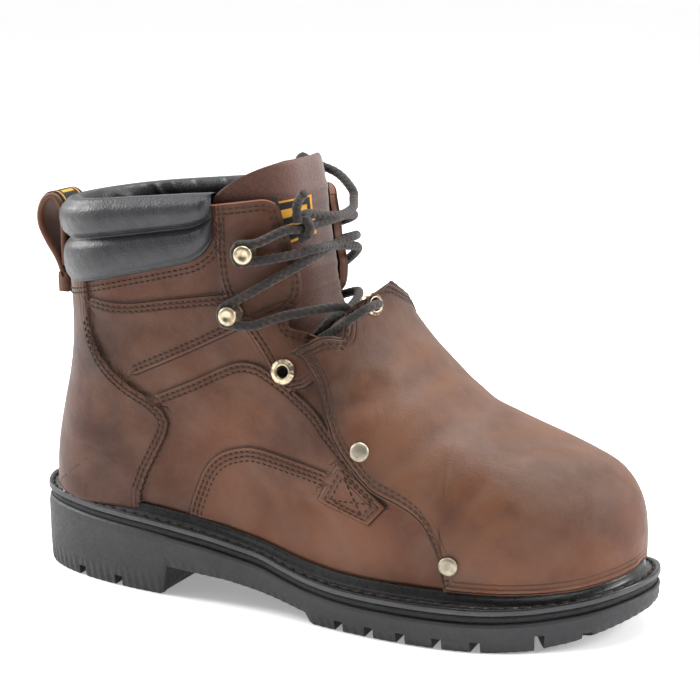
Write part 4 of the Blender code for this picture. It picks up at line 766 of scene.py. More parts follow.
def suede(name, colour=(0.062, 0.024, 0.0155)):
    """Napped leather in lighter and darker patches."""
    look, tree, shader = new_look(name)
    nap = noise(tree, 900.0, 4.0, 0.7)
    patches = noise(tree, 48.0, 4.0, 0.6, 0.5)
    light = times(colour, 1.9)
    fine = mixed(tree, ramp(tree, nap, ((0.35, 0.0), (0.7, 1.0))), times(colour, 0.6), light)
    base = mixed(tree, 0.45, fine, mixed(tree, patches, colour, light))
    finished(tree, shader, base, 0.95, [(nap, 0.5, 0.0006), (patches, 0.25, 0.0015)],
             {"Sheen Weight": 0.35, "Sheen Roughness": 0.5})
    return look


def rubber(name, colour, rough, texture=500.0, depth=0.0004, dust=0.35):
    """Rubber with a moulded texture and pale dust."""
    look, tree, shader = new_look(name)
    fine = noise(tree, texture, 5.0, 0.7)
    wear_and_sheen = noise(tree, 24.0, 5.0, 0.65, 0.6)
    grey = maths(tree, "MULTIPLY", ramp(tree, wear_and_sheen, ((0.42, 0.0), (0.72, 1.0))), dust)
    base = mixed(tree, grey, colour, times(colour, 2.1, 0.012))
    gloss = ramp(tree, fine, ((0.3, rough - 0.1), (0.7, rough + 0.12)))
    finished(tree, shader, base, gloss, [(fine, 0.4, depth), (wear_and_sheen, 0.2, 0.0012)])
    return look


def metal(name, colour=(0.56, 0.47, 0.33), dark=(0.20, 0.15, 0.09), rough=0.30):
    """Worn metal with dark, rougher stains."""
    look, tree, shader = new_look(name)
    stain = noise(tree, 260.0, 4.0, 0.55, 0.3)
    base = mixed(tree, ramp(tree, stain, ((0.26, 0.0), (0.50, 1.0))), dark, colour)
    gloss = ramp(tree, stain, ((0.3, rough + 0.2), (0.7, rough)))
    finished(tree, shader, base, gloss, [(noise(tree, 1400.0, 3.0), 0.12, 0.0002)], {"Metallic": 1.0})
    return look


def braid(name, first=(0.0085, 0.0078, 0.0074), second=(0.040, 0.024, 0.015)):
    """Braided cord in two colours, told apart by the piece's own attribute."""
    look, tree, shader = new_look(name)
    share = attribute(tree, "braid")
    fibre = noise(tree, 1900.0, 3.0, 0.7)
    base = mixed(tree, share, first, second)
    finished(tree, shader, base, 0.86, [(fibre, 0.4, 0.0003)], {"Sheen Weight": 0.2})
    return look


def woven(name, colour, bars=None, scale=1500.0):
    """Cloth with a fine weave; bars is the colour painted where the piece's own attribute says so."""
    look, tree, shader = new_look(name)
    weave = noise(tree, scale, 2.0, 0.5)
    base = mixed(tree, weave, times(colour, 0.6), times(colour, 1.5))
    if bars is not None:
        base = mixed(tree, attribute(tree, "mark"), base, bars)
    finished(tree, shader, base, 0.85, [(weave, 0.5, 0.0004)])
    return look


BROWN = brown_leather("brown_oiled")
EDGE = brown_leather("brown_cut_edge", seams=False, lighter=1.9)
DARK = dark_leather("collar_pebbled", (0.0115, 0.0115, 0.0135), 0.46)
LINING = dark_leather("lining_cloth", (0.010, 0.010, 0.011), 0.7, 1.6)
SUEDE = suede("tongue_nap")
SOLE = rubber("sole_plain", (0.0155, 0.0155, 0.0175), 0.58)
WELT = rubber("welt_gloss", (0.0075, 0.0075, 0.0082), 0.30, 300.0, 0.0003, 0.2)
BAND = rubber("welt_band", (0.040, 0.040, 0.043), 0.6, 700.0, 0.0004, 0.5)
RECESS = rubber("band_textured", (0.008, 0.008, 0.009), 0.75, 420.0, 0.0012, 0.15)
BRASS = metal("brass_aged")
PLATED = metal("rivet_plated", (0.40, 0.355, 0.28), (0.26, 0.22, 0.16), 0.40)
BASE_METAL = metal("hook_base", (0.16, 0.12, 0.08), (0.05, 0.04, 0.03), 0.5)
CORD = braid("lace_braid")
THREAD = woven("thread_dark", (0.040, 0.022, 0.014), scale=2500.0)
WELT_THREAD = woven("thread_welt", (0.030, 0.024, 0.020), scale=1600.0)
LABEL = woven("label_cloth", (0.010, 0.010, 0.011), (0.62, 0.30, 0.03), 1100.0)
BOARD = woven("insole_cloth", (0.022, 0.022, 0.024), scale=700.0)


def side_fields(base, side_of):
    """Relief, seam distance, seam share and lighter creases of the upper's points, from the side view."""
    flat = base[:, [0, 2]]
    count = len(base)
    height = np.zeros(count)
    seam_d = np.full(count, -0.002)
    seam_far = np.full(count, 1.0)
    size = np.array([LENGTH, SHAFT])

    def note(distance):
        nonlocal seam_d, seam_far
        far = np.where(distance < 0, np.abs(distance) * 2, np.abs(distance - 0.0032))
        closer = far < seam_far
        seam_d = np.where(closer, distance, seam_d)
        seam_far = np.where(closer, far, seam_far)

    for line, top, _ in SEAMS:
        path = fine_line(np.asarray(line, float) / 1000)
        far, sign, _ = from_line(flat, path)
        d = far * sign * top
        height += SEAM_RISE * rise(d / 0.0009 + 0.5) * (1 - rise((d - 0.006) / 0.016)) * (far < 0.03)
        note(d)
    full = OVERLAY_T + 3 * GAP
    for outline, amount in ((COUNTER, full), (FACING, full * 0.82), (TAB, full * 0.75)):
        shape = np.asarray(outline, float) * size
        d = inside(flat, shape)
        if outline is COUNTER:
            d = np.where(base[:, 2] > 0.80 * SHAFT, -0.01, d)
        mask = rise(d / 0.0010 + 0.5)
        height = height * (1 - mask) + amount * mask
        note(d)
    pull = np.zeros(count)
    for line, depth, width, side in CREASES:
        path = fine_line(np.asarray(line, float) / 1000)
        wide = width / 1000
        far, _, along = from_line(flat, path)
        total = np.linalg.norm(np.diff(path, axis=0), axis=1).sum()
        ends = rise(np.minimum(along, total - along) / (0.35 * total) + 0.1)
        shape = np.exp(-((far / wide) ** 2)) * ends
        if side:
            shape = shape * (side_of == side)
        height -= depth / 1000 * shape
        pull = np.maximum(pull, 0.5 * np.exp(-(((far - wide) / (0.6 * wide)) ** 2)) * ends)
    on = 1 - rise((seam_far - 0.0045) / 0.002)
    return height, seam_d, on, np.clip(pull, 0, 1)


def for_ramp(distance):
    """Seam distance from -2 mm to 8 mm as 0 to 1."""
    return np.clip((np.asarray(distance) + 0.002) / 0.010, 0, 1)


def even_sections(count):
    """Sections spaced evenly along the upper."""
    s = np.linspace(0, TOPLINE, 1400)
    lines = [on_form(s, np.full_like(s, f)) for f in (-0.35, -0.75, 0.55)]
    step = sum(np.linalg.norm(np.diff(line, axis=0), axis=1) for line in lines)
    reach = np.concatenate([[0], np.cumsum(step)])
    return np.interp(np.linspace(0, reach[-1], count), reach, s)


def holes(item, spots, radius):
    """Faces round each eyelet's axis taken away."""
    made = bmesh.new()
    made.from_mesh(item.data)
    gone = []
    for foot, normal in spots:
        foot = Vector(foot) - Vector((ORIGIN_X * LENGTH, 0, 0))
        normal = Vector(normal)
        for face in made.faces:
            away = face.calc_center_median() - foot
            if away.length < 0.02:
                down = away.dot(normal)
                if abs(down) < 0.008 and (away - normal * down).length < radius:
                    gone.append(face)
    bmesh.ops.delete(made, geom=list(set(gone)), context="FACES")
    made.to_mesh(item.data)
    made.free()


def half_faces(rows, columns):
    """Faces of rows that come as a lateral and a medial half, one after the other."""
    faces = []
    for i in range(rows - 1):
        for half in (0, 1):
            a = (2 * i + half) * columns
            b = a + 2 * columns
            faces += [(a + j, a + j + 1, b + j + 1, b + j) for j in range(columns - 1)]
    return faces


def rounded(s, f, side):
    """Sections moved down near the throat so that the top corner is round."""
    if s < 22:
        return np.full_like(f, s)
    away = np.abs(f - throat_edge(s, side)) * 0.150
    short = 1 - np.clip(away / CORNER_R, 0, 1)
    drop = CORNER_R * (1 - np.sqrt(np.clip(1 - short**2, 0, 1)))
    return s - drop / 0.0062 * min(1.0, (s - 22) / 6)


def build_upper(spots):
    """The leather skin of vamp, quarters, counter, facings and tabs, and the dark lining inside."""
    sections = even_sections(270)
    across = 118
    points, normals, rows, sides = [], [], [], []
    for s in sections:
        for side in (-1, 1):
            edge = throat_edge(s, side) if s > THROAT[0][0] else 0.0
            t = np.concatenate([[0, 0.0015], np.linspace(0.006, 1, across - 2)])
            f = edge + (side - edge) * t
            p, n = on_form(rounded(s, f, side), f, 0.0, True)
            if s <= CORNER:
                p[:, 2] = np.maximum(p[:, 2], welt_line(p[:, 0]) - WELT_T + 0.0002)
            points.append(p)
            normals.append(n)
            rows.append(np.where(np.arange(across) == 0, 1.0, 0.0) * (s > THROAT[0][0]))
            sides.append(np.full(across, side))
    points, normals = np.concatenate(points), np.concatenate(normals)
    rows, sides = np.concatenate(rows), np.concatenate(sides)
    height, seam_d, on, pull = side_fields(points, sides)
    height = height * (1 - rows) + rows * np.minimum(height, 0.0006)
    under_guard = np.clip((points[:, 0] - 0.155) / 0.01, 0, 1)
    under_guard = under_guard * np.clip(1 - (np.abs(points[:, 1]) - 0.020) / 0.012, 0, 1)
    height = np.where(under_guard > 0, np.minimum(height, 0.0004), height)
    low = points[:, 2] - welt_line(points[:, 0]) + WELT_T
    height = height * np.where(np.repeat(sections, 2 * across) < 20, rise(low / 0.0045), 1.0)
    skin = points + normals * height[:, None]
    # seam_d and seam_on place the painted shade at seams and overlay edges in brown_oiled
    data = {"seam_d": for_ramp(seam_d), "seam_on": on, "pull": pull}
    nodes = (
        "upper", "heel_counter", "facing_lateral", "facing_medial", "side_tab_lateral", "side_tab_medial",
    )
    item = add_piece("upper_leather", skin, half_faces(len(sections), across), BROWN, "brown_leather",
                     nodes, data, normals)
    holes(item, spots, SKIN_HOLE)
    inner_s = np.interp(np.linspace(0, 90, 91), np.linspace(0, 90, len(sections)), sections)
    inner, hints = [], []
    wide = 40
    for s in inner_s:
        for side in (-1, 1):
            edge = throat_edge(s, side) if s > THROAT[0][0] else 0.0
            f = edge + (side - edge) * np.linspace(0, 1, wide)
            p, n = on_form(np.full_like(f, s), f, -WALL, True)
            if s <= CORNER:
                p[:, 2] = np.maximum(p[:, 2], welt_line(p[:, 0]) - WELT_T + WALL)
            inner.append(p)
            hints.append(-n)
    add_piece("upper_lining", np.concatenate(inner), half_faces(len(inner_s), wide), LINING, "collar_leather",
              outward=np.concatenate(hints))
    build_binding(sections)
    return item


def build_binding(sections):
    """The cut edge of the leather at the throat and along the topline."""
    rims, hints = [], []
    for side in (-1, 1):
        at = [s for s in sections if s > THROAT[0][0]]
        low = [float(rounded(s, np.array([throat_edge(s, side)]), side)[0]) for s in at]
        rows = [
            np.array([on_form(v, throat_edge(s, side, more), off) for s, v in zip(at, low)])
            for more, off in ((0.0, -WALL), (0.0, 0.0006), (0.0012, 0.0016))
        ]
        rims.append((np.concatenate(rows), grid_faces(3, len(at))))
        edge_n = np.array([on_form(v, throat_edge(s, side), 0.0, True)[1] for s, v in zip(at, low)])
        hints.append(np.tile(edge_n - (0.0, 0.5 * side, 0.0), (3, 1)))
        f = np.linspace(throat_edge(TOPLINE, side), side, 90)
        level = rounded(TOPLINE, f, side)
        top_out, top_in = on_form(level, f, 0.0016), on_form(level, f, -WALL)
        crown = on_form(level + 0.07, f, -0.0003)
        rims.append((np.concatenate([top_out, crown, top_in]), grid_faces(3, 90)))
        hints.append(np.tile((0.0, 0.0, 1.0), (3 * 90, 1)))
    add_piece("upper_binding", *joined(rims), EDGE, "brown_leather", outward=np.concatenate(hints))


def stitches(rows, name, slot="brown_leather", pitch=STITCH, length=THREAD_LONG, radius=THREAD_R,
             look=THREAD):
    """Short rounded threads laid along rows of (points, normals)."""
    parts = []
    for points, normals in rows:
        if len(points) < 2:
            continue
        reach = reach_of(points)
        for k in range(int(reach[-1] / pitch)):
            at = (k + 0.5) * pitch + np.array([-0.5, -0.30, 0.30, 0.5]) * length
            p = at_reach(points, reach, at)
            n = at_reach(normals, reach, at)
            n /= np.linalg.norm(n, axis=1)[:, None]
            ahead = p[-1] - p[0]
            size = np.linalg.norm(ahead)
            if size < 0.3 * length or size > 1.6 * length:
                continue
            ahead /= size
            cross = np.cross(n, ahead)
            rings = []
            for q, scale, lift in zip(range(4), (0.30, 1.0, 1.0, 0.30), (-0.5, 0.35, 0.35, -0.5)):
                for angle in np.arange(6) * math.pi / 3:
                    turned = cross[q] * math.cos(angle) + n[q] * math.sin(angle)
                    rings.append(p[q] + radius * (lift * n[q] + scale * turned))
            parts.append((rings, grid_faces(4, 6, wrap=True)))
    add_piece(name, *joined(parts), look, slot)


def shot(tree, x, z, side):
    """Where a side-view point meets a piece, with the piece's normal."""
    hit, normal, _, _ = tree.ray_cast(Vector((x - ORIGIN_X * LENGTH, side * 0.2, z)), Vector((0, -side, 0)))
    if hit is None or hit.y * side < 0.004:
        return None
    normal = normal if normal.y * side > 0 else -normal
    return np.array(hit) + (ORIGIN_X * LENGTH, 0, 0), np.array(normal)


def tree_of(item):
    mesh = item.data
    corners = [v.co.copy() for v in mesh.vertices]
    return BVHTree.FromPolygons(corners, [tuple(p.vertices) for p in mesh.polygons])


def side_rows(tree, line, offset):
    """A side-view line moved sideways and laid on the leather, broken where it leaves it."""
    path = np.asarray(line, float)
    ahead = np.gradient(path, axis=0)
    left = np.stack([-ahead[:, 1], ahead[:, 0]], axis=1)
    left /= np.maximum(np.linalg.norm(left, axis=1), 1e-9)[:, None]
    moved = path + left * offset
    found = []
    for side in (-1, 1):
        run = []
        for x, z in moved:
            hit = shot(tree, x, z, side)
            if hit is not None and run and np.linalg.norm(hit[0] - run[-1][0]) > 0.006:
                found.append(run)
                run = []
            if hit is None:
                if run:
                    found.append(run)
                run = []
            else:
                run.append(hit)
        if run:
            found.append(run)
    return [(np.array([p for p, _ in run]), np.array([n for _, n in run])) for run in found if len(run) > 2]


def sew_upper(item):
    """Rows of stitches along seams, counter, facings, tabs, throat, topline and collar hem."""
    tree = tree_of(item)
    rows = []
    for line, top, count in SEAMS:
        path = fine_line(np.asarray(line, float) / 1000, 140)
        for k in range(count):
            rows += side_rows(tree, path, ROWS[k] * top)
    size = np.array([LENGTH, SHAFT])
    counter = fine_line(np.asarray(COUNTER[1:13]) * size, 160)
    for offset in COUNTER_ROWS:
        rows += side_rows(tree, counter, offset)
    facing = fine_line(np.asarray(FACING[1:9]) * size, 160)
    for offset in ROWS[:2]:
        rows += side_rows(tree, facing, offset)
    tab = np.asarray(TAB) * size
    middle = tab.mean(axis=0)
    for scale in TAB_ROWS:
        ring = middle + (tab - middle) * scale
        ring = np.vstack([ring, ring[:1]])
        for k in range(4):
            rows += side_rows(tree, np.linspace(ring[k], ring[k + 1], 20), 0.0)
    small = middle + (tab - middle) * TAB_ROWS[-1]
    for a, b in ((0, 2), (1, 3)):
        rows += side_rows(tree, np.linspace(small[a], small[b], 24), 0.0)
    for side in (-1, 1):
        path = [(s, throat_edge(s, side)) for s in np.linspace(12.6, 27.95, 150)]
        path = [(float(rounded(s, np.array([f]), side)[0]), f) for s, f in path]
        end = collar_front(27.0, side)
        tops = np.linspace(throat_edge(TOPLINE, side), end, 60)[1:]
        path += [(float(rounded(TOPLINE, np.array([f]), side)[0]), f) for f in tops]
        rows += offset_rows(path, side, COUNTER_ROWS, -1)
        sides_of = np.concatenate([np.linspace(1, 0.15, 50), 0.15 * (1 - np.linspace(0, 1, 40)[1:] ** 0.6)])
        hem = [(collar_low(q), collar_front(collar_low(q), side)) for q in sides_of]
        hem = [(s, a + (side - a) * q) for (s, a), q in zip(hem, sides_of)]
        hem += [(s, collar_front(s, side)) for s in np.linspace(hem[-1][0], 27.2, 20)[1:]]
        rows += offset_rows(hem, side, HEM_ROWS, 1)
    stitches(rows, "seam_threads")


def offset_rows(path, side, offsets, turn):
    """Rows beside a path of (section, place) on the leather, moved across it by each offset."""
    path = np.asarray(path, float)
    points, normals = on_form(path[:, 0], path[:, 1], 0.0, True)
    points = resampled_rows(points, normals)
    normals = points[:, 3:] / np.linalg.norm(points[:, 3:], axis=1)[:, None]
    points = points[:, :3]
    ahead = np.gradient(points, axis=0)
    across = np.cross(normals, ahead)
    across /= np.maximum(np.linalg.norm(across, axis=1), 1e-9)[:, None]
    found = []
    for offset in offsets:
        moved = points + across * offset * turn * side
        height = side_fields(moved, np.full(len(moved), side))[0]
        found.append((moved + normals * (height + 0.0001)[:, None], normals))
    return found


def resampled_rows(points, normals, step=0.001):
    """Points and normals side by side, one step apart."""
    both = np.hstack([points, normals])
    reach = reach_of(points)
    at = np.linspace(0, reach[-1], max(3, int(reach[-1] / step)))
    return at_reach(both, reach, at)


# The guard flap

def edge_table(knots, side):
    """Sections and places of a side-view line, in order."""
    knots = np.asarray(knots, float)
    reach = reach_of(knots * (LENGTH, SHAFT))
    line = curve(np.column_stack([reach, knots]), np.linspace(0, reach[-1], 40))
    return np.asarray(sorted(place_at(x, z, side) for x, z in line))


GUARD_TABLES = {side: edge_table(GUARD_EDGE, side) for side in (-1, 1)}
LOW_SECTIONS = np.linspace(0, 8, 81)
GUARD_HEM = WELT_T + WELT_RIB + 3 * GAP
GUARD_LOW = {side: np.array([low_place(s, side, GUARD_HEM) for s in LOW_SECTIONS]) for side in (-1, 1)}


def guard_edge(s, side):
    """Place of the guard's side edge: over the welt in front, along GUARD_EDGE behind."""
    table = GUARD_TABLES[side]
    low = np.interp(s, LOW_SECTIONS, GUARD_LOW[side])
    return np.where(s <= table[0, 0], low, np.interp(s, table[:, 0], table[:, 1]))


def guard_at(s, q, off=0.0):
    """Points of the guard's underside at section s and share q of its width, moved off by off."""
    s, q = np.broadcast_arrays(np.asarray(s, float), np.asarray(q, float))
    edge = np.where(q < 0, guard_edge(s, -1), guard_edge(s, 1))
    away = np.abs(q)
    lifts = curve(GUARD_LIFT, s) * SHAFT
    lift = 3.4 * GAP + lifts[..., 0] * (1 - away**2) ** 1.3 + lifts[..., 1] * away**3
    return on_form(s, edge * away, lift + off)


def guard_section(step, q):
    """Section of a guard row, shaped by its top edge."""
    end = curve(GUARD_TOP, q)
    free = GUARD_FREE + (step - GUARD_FREE) * (end - GUARD_FREE) / (GUARD_END - GUARD_FREE)
    return np.where(step > GUARD_FREE, free, step)


def guard_normals(s, q):
    u = guard_at(s + 0.02, q) - guard_at(s - 0.02, q)
    v = guard_at(s, np.clip(q + 0.01, -1, 1)) - guard_at(s, np.clip(q - 0.01, -1, 1))
    n = np.cross(v, u)
    n /= np.maximum(np.linalg.norm(n, axis=-1), 1e-12)[..., None]
    hint = guard_at(s, q, 0.001) - guard_at(s, q)
    return np.where((np.sum(n * hint, axis=-1) < 0)[..., None], -n, n)


def build_guard(spots):
    """One piece of thick leather: outside, rolled edge and inside, with listed creases."""
    fine = np.concatenate([[0, 0.003, 0.008, 0.016], np.linspace(0.03, 0.97, 62)])
    half = 1 - fine[::-1]
    half = half[half > 0.012]
    shares = np.concatenate([-half[::-1], [0.0], half])
    last_steps = GUARD_END - np.array([0.07, 0.03, 0.01, 0.0])
    steps = np.concatenate([np.linspace(0, GUARD_END - 0.12, 150), last_steps])
    q, step = np.meshgrid(shares, steps)
    s = guard_section(step, q)
    base = guard_at(s, q, GUARD_T)
    normals = guard_normals(np.maximum(s, 0.05), q)
    flat = base.reshape(-1, 3)
    edge_line = np.concatenate([base[:, 0], base[-1], base[::-1, -1]])
    apart = np.linalg.norm(np.diff(edge_line, axis=0), axis=1) > 0.0004
    edge_line = resampled(edge_line[np.concatenate([[True], apart])], 0.0012)
    search = kdtree.KDTree(len(edge_line))
    for k, p in enumerate(edge_line):
        search.insert(Vector(p), k)
    search.balance()
    edge = np.array([search.find(Vector(p))[2] for p in flat])
    height = -0.0010 * (1 - np.sqrt(np.clip(1 - (1 - np.clip(edge / 0.0012, 0, 1)) ** 2, 0, 1)))
    pull = np.zeros(len(flat))
    for knots, depth, width in GUARD_CREASES:
        path = fine_line(knots, 40)
        line = guard_at(path[:, 0], path[:, 1], GUARD_T)
        gap = np.linalg.norm(flat[:, None, :] - line[None, :, :], axis=2)
        at = gap.argmin(axis=1) / (len(line) - 1)
        far = gap.min(axis=1)
        ends = rise(np.minimum(at, 1 - at) / 0.30 + 0.12)
        wide = width / 1000
        height -= depth / 1000 * np.exp(-((far / wide) ** 2)) * ends
        height += 0.35 * depth / 1000 * np.exp(-(((far - 1.7 * wide) / wide) ** 2)) * ends
        pull = np.maximum(pull, 0.75 * np.exp(-(((far - 1.25 * wide) / (0.7 * wide)) ** 2)) * ends)
    pull = np.clip(pull, 0, 1)
    skin = flat + normals.reshape(-1, 3) * height[:, None]
    rows, columns = s.shape
    under = guard_at(s, q, 0.0).reshape(-1, 3)
    faces = grid_faces(rows, columns)
    total = rows * columns
    look = [0] * len(faces)
    inner = [tuple(i + total for i in face)[::-1] for face in faces]
    faces += inner
    look += [1] * len(inner)
    rim = []
    for i in range(rows - 1):
        for j in (0, columns - 1):
            a, b = i * columns + j, (i + 1) * columns + j
            rim.append((a, b, b + total, a + total))
    for j in range(columns - 1):
        a = (rows - 1) * columns + j
        rim.append((a, a + 1, a + 1 + total, a + total))
    faces += rim
    look += [2] * len(rim)
    hints = np.concatenate([normals.reshape(-1, 3), -normals.reshape(-1, 3)])
    # seam_d and seam_on place the painted shade along the guard's rolled edge and in its stitch grooves
    data = {
        "seam_d": for_ramp(np.concatenate([edge - 0.0012, np.full(total, -0.002)])),
        "seam_on": np.concatenate([1 - rise((edge - 0.0075) / 0.002), np.zeros(total)]),
        "pull": np.concatenate([pull, np.zeros(total)]),
    }
    item = add_piece("guard_leather", np.concatenate([skin, under]), faces, [BROWN, SUEDE, EDGE],
                     "brown_leather", ("metatarsal_guard",), data, hints, face_look=look)
    holes(item, spots, SKIN_HOLE)
    skin_grid = skin.reshape(rows, columns, 3)
    threads = []
    for inset in GUARD_ROWS:
        for way in (1, -1):
            lines = [inset_point(skin_grid[i, ::way], normals[i, ::way], inset) for i in range(rows - 1)]
            line, turned = np.swapaxes(lines, 0, 1)
            keep = line[:, 0] < GUARD_SEWN
            threads.append((line[keep], turned[keep]))
        lines = [inset_point(skin_grid[::-1, j], normals[::-1, j], inset) for j in range(2, columns - 2)]
        threads.append(tuple(np.swapaxes(lines, 0, 1)))
    stitches(threads, "guard_threads")


def inset_point(line, normals, inset):
    """The point and the normal of a line this far from its start."""
    reach = reach_of(line)
    return [[np.interp(inset, reach, values[:, c]) for c in range(3)] for values in (line, normals)]


# Sole and welt

def seat_curve(lift, clearance, count):
    """The upper's outline this far above the welt's underside, with a clearance round it."""
    sections = np.concatenate([
        np.linspace(0, 2, 14) ** 1.5 / 2**0.5, np.linspace(2, CORNER, 90)[1:],
        np.linspace(CORNER, CORNER + 2, 81)[1:],
    ])
    found = {-1: [], 1: []}
    for side in (-1, 1):
        for s in sections:
            f = np.linspace(0, 1, 400) * side
            p = on_form(np.full_like(f, s), f)
            under = np.nonzero(p[:, 2] - (welt_line(p[:, 0]) - WELT_T + lift) <= 0)[0]
            if len(under):
                found[side].append(p[under[0], :2])
    loop = np.vstack([found[-1][::-1], found[1]])
    keep = [0]
    for k in range(1, len(loop)):
        if np.linalg.norm(loop[k] - loop[keep[-1]]) > 0.0004:
            keep.append(k)
    even = even_loop(loop[keep], count)
    return even + loop_normals(even) * clearance


def matched(outer, inner):
    """The inner loop run the same way as the outer one, from the same place."""
    def area(p):
        return np.sum(p[:, 0] * np.roll(p[:, 1], -1) - p[:, 1] * np.roll(p[:, 0], -1))
    if area(inner) * area(outer) < 0:
        inner = inner[::-1]
    start = int(np.argmin(np.linalg.norm(inner - outer[0], axis=1)))
    return np.roll(inner, -start, axis=0)


def ring_piece(name, rings, look, slot, nodes, band_look=None):
    """A piece of closed rings, with a look of its own for each band between two rings."""
    around = len(rings[0])
    looks = None if band_look is None else [k for k in band_look for _ in range(around)]
    faces = grid_faces(len(rings), around, wrap=True)
    add_piece(name, np.concatenate(rings), faces, look, slot, nodes, face_look=looks)


def build_welt():
    """Storm welt: side band, flat with a sewn groove and the glossy rounded rib against the upper."""
    count = 420
    outline, _ = closed_outline(count)
    low, high = (matched(outline, seat_curve(lift, 0.0004, count)) for lift in (WELT_T, WELT_T + WELT_RIB))
    profile = (
        (0.10, -WELT_T, low, 1), (0.0, -WELT_T, low, 1), (-0.004, -0.0016, low, 1), (0.0, -0.0007, low, 1),
        (0.03, -0.0001, low, 0), (0.07, 0.0001, low, 0), (0.22, 0.0, low, 0), (0.26, -0.0005, low, 0),
        (0.31, -0.0008, low, 0), (0.36, -0.0005, low, 0), (0.40, 0.0, low, 0), (0.55, 0.0002, low, 0),
        (0.63, 0.0011, low, 0), (0.69, 0.0029, low, 0), (0.77, 0.0043, high, 0), (0.86, 0.0048, high, 0),
        (0.94, 0.0045, high, 0), (1.0, 0.0036, high, 0), (1.02, 0.0010, high, 0),
    )
    rings = []
    for share, lift, inner, _ in profile:
        xy = outline + (inner - outline) * share
        rings.append(np.column_stack([xy, welt_line(xy[:, 0]) + lift]))
    marks = [b[3] for b in profile[1:]]
    ring_piece("welt_rubber", rings, [WELT, BAND], "welt_rubber", ("welt",), marks)
    groove = 0.31
    xy = outline + (low - outline) * groove
    line = np.column_stack([xy, welt_line(xy[:, 0]) - 0.0004])
    line = np.vstack([line, line[:1]])
    normals = np.tile((0.0, 0.0, 1.0), (len(line), 1))
    stitches([(line, normals)], "welt_threads", "welt_rubber", WELT_STITCH, 0.0050, 0.00075, WELT_THREAD)


BOX_FACES = [(0, 3, 2, 1), (4, 5, 6, 7), (0, 1, 5, 4), (1, 2, 6, 5), (2, 3, 7, 6), (3, 0, 4, 7)]
# Side slots of the sole, shares of LENGTH, and the rays round the toe, degrees
SLOTS = {-1: (0.575, 0.625, 0.675, 0.73, 0.785, 0.11, 0.185), 1: (0.56, 0.61, 0.66, 0.71, 0.765, 0.11, 0.185)}
TOE_SLOTS = (-62, -38, -14, 10, 34, 58)


def mid_top(x):
    return welt_line(x) - WELT_T - GAP


def sole_top(x):
    return mid_top(x) - MIDSOLE_T - GAP


def capped(rings, top, bottom, around):
    """Stacked rings closed by two caps of rows from side to side."""
    points = [p for ring in rings for p in ring]
    faces = grid_faces(len(rings), around, wrap=True)
    for ring_at, height in ((0, top), (len(rings) - 1, bottom)):
        base = ring_at * around
        index = []
        for k in range(1, around // 2):
            a, b = rings[ring_at][k], rings[ring_at][around - k]
            start = len(points)
            for t in (0.2, 0.4, 0.6, 0.8):
                p = a + (b - a) * t
                p[2] = height(p[0])
                points.append(p)
            index.append([base + k, *range(start, start + 4), base + around - k])
        for k in range(len(index) - 1):
            for c in range(5):
                faces.append((index[k][c], index[k + 1][c], index[k + 1][c + 1], index[k][c + 1]))
        for tip, row in ((base, index[0]), (base + around // 2, index[-1])):
            faces += [(tip, row[c], row[c + 1]) for c in range(5)]
    return np.asarray(points), faces


def build_sole():
    """Textured band under the welt, then the plain rubber sole with its lugs cut by slots."""
    around = 320
    outline, normals = closed_outline(around)
    top, bottom = mid_top(outline[:, 0]), mid_top(outline[:, 0]) - MIDSOLE_T
    rings = []
    lip = MIDSOLE_INSET + 0.0004
    for t, inset in ((1.0, 0.004), (1.0, lip), (0.5, MIDSOLE_INSET), (0.0, lip), (0.0, 0.004)):
        xy = outline - normals * inset
        rings.append(np.column_stack([xy, top * (1 - t) + bottom * t]))
    ring_piece("midsole_band", rings, RECESS, "midsole_rubber", ("midsole",))
    rings = []
    serration = 0.0004 * (np.arange(around) % 2)
    wall = (
        (0, 0.0012), (0.03, 0.0004), (0.12, 0.0), (0.35, 0.0002), (0.65, 0.0003), (0.90, 0.0007),
        (0.97, 0.0010), (1.0, 0.0018),
    )
    for t, inset in wall:
        xy = outline - normals * (inset + (serration[:, None] if t > 0.8 else 0.0))
        low = ground_line(outline[:, 0])
        rings.append(np.column_stack([xy, sole_top(outline[:, 0]) * (1 - t) + low * t]))
    points, faces = capped(rings, sole_top, ground_line, around)
    item = add_piece("sole_rubber_unit", points, faces, SOLE, "sole_rubber", ("outsole",), smooth=False)
    parts = []

    def slot(a, b, wide, top_z):
        a, b = np.asarray(a, float), np.asarray(b, float)
        along = (b - a) / np.linalg.norm(b - a)
        side = np.array([-along[1], along[0]]) * wide / 2
        corners = [(p[0], p[1], z) for z in (-0.004, top_z) for p in (a - side, b - side, b + side, a + side)]
        parts.append((corners, BOX_FACES))

    for side, shares in SLOTS.items():
        for x in np.array(shares) * LENGTH:
            slot((x, side * 0.10 * BALL), (x + 0.012 * LENGTH, side * 0.62 * BALL), LUG_GAP, LUG_DEPTH)
    centre = np.array([0.80 * LENGTH, 0.02 * BALL])
    for angle in TOE_SLOTS:
        heading = np.array([math.cos(math.radians(angle)), math.sin(math.radians(angle))])
        slot(centre + heading * 0.07 * LENGTH, centre + heading * 0.32 * LENGTH, LUG_GAP, LUG_DEPTH + 0.0035)
    p, f = joined(parts)
    mesh = bpy.data.meshes.new("slots")
    mesh.from_pydata((p - (ORIGIN_X * LENGTH, 0, 0)).tolist(), [], f)
    cutter = bpy.data.objects.new("slots", mesh)
    bpy.context.scene.collection.objects.link(cutter)
    made = bmesh.new()
    made.from_mesh(item.data)
    bmesh.ops.remove_doubles(made, verts=made.verts, dist=0.00001)
    bmesh.ops.recalc_face_normals(made, faces=made.faces)
    made.to_mesh(item.data)
    made.free()
    change = item.modifiers.new("slots", "BOOLEAN")
    change.object = cutter
    change.solver = "EXACT"
    change.operation = "DIFFERENCE"
    bpy.context.view_layer.update()
    done = bpy.data.meshes.new_from_object(item.evaluated_get(bpy.context.evaluated_depsgraph_get()))
    item.modifiers.clear()
    item.data = done
    if not done.materials:
        done.materials.append(SOLE)
    bpy.data.objects.remove(cutter, do_unlink=True)
    for polygon in done.polygons:
        polygon.use_smooth = False


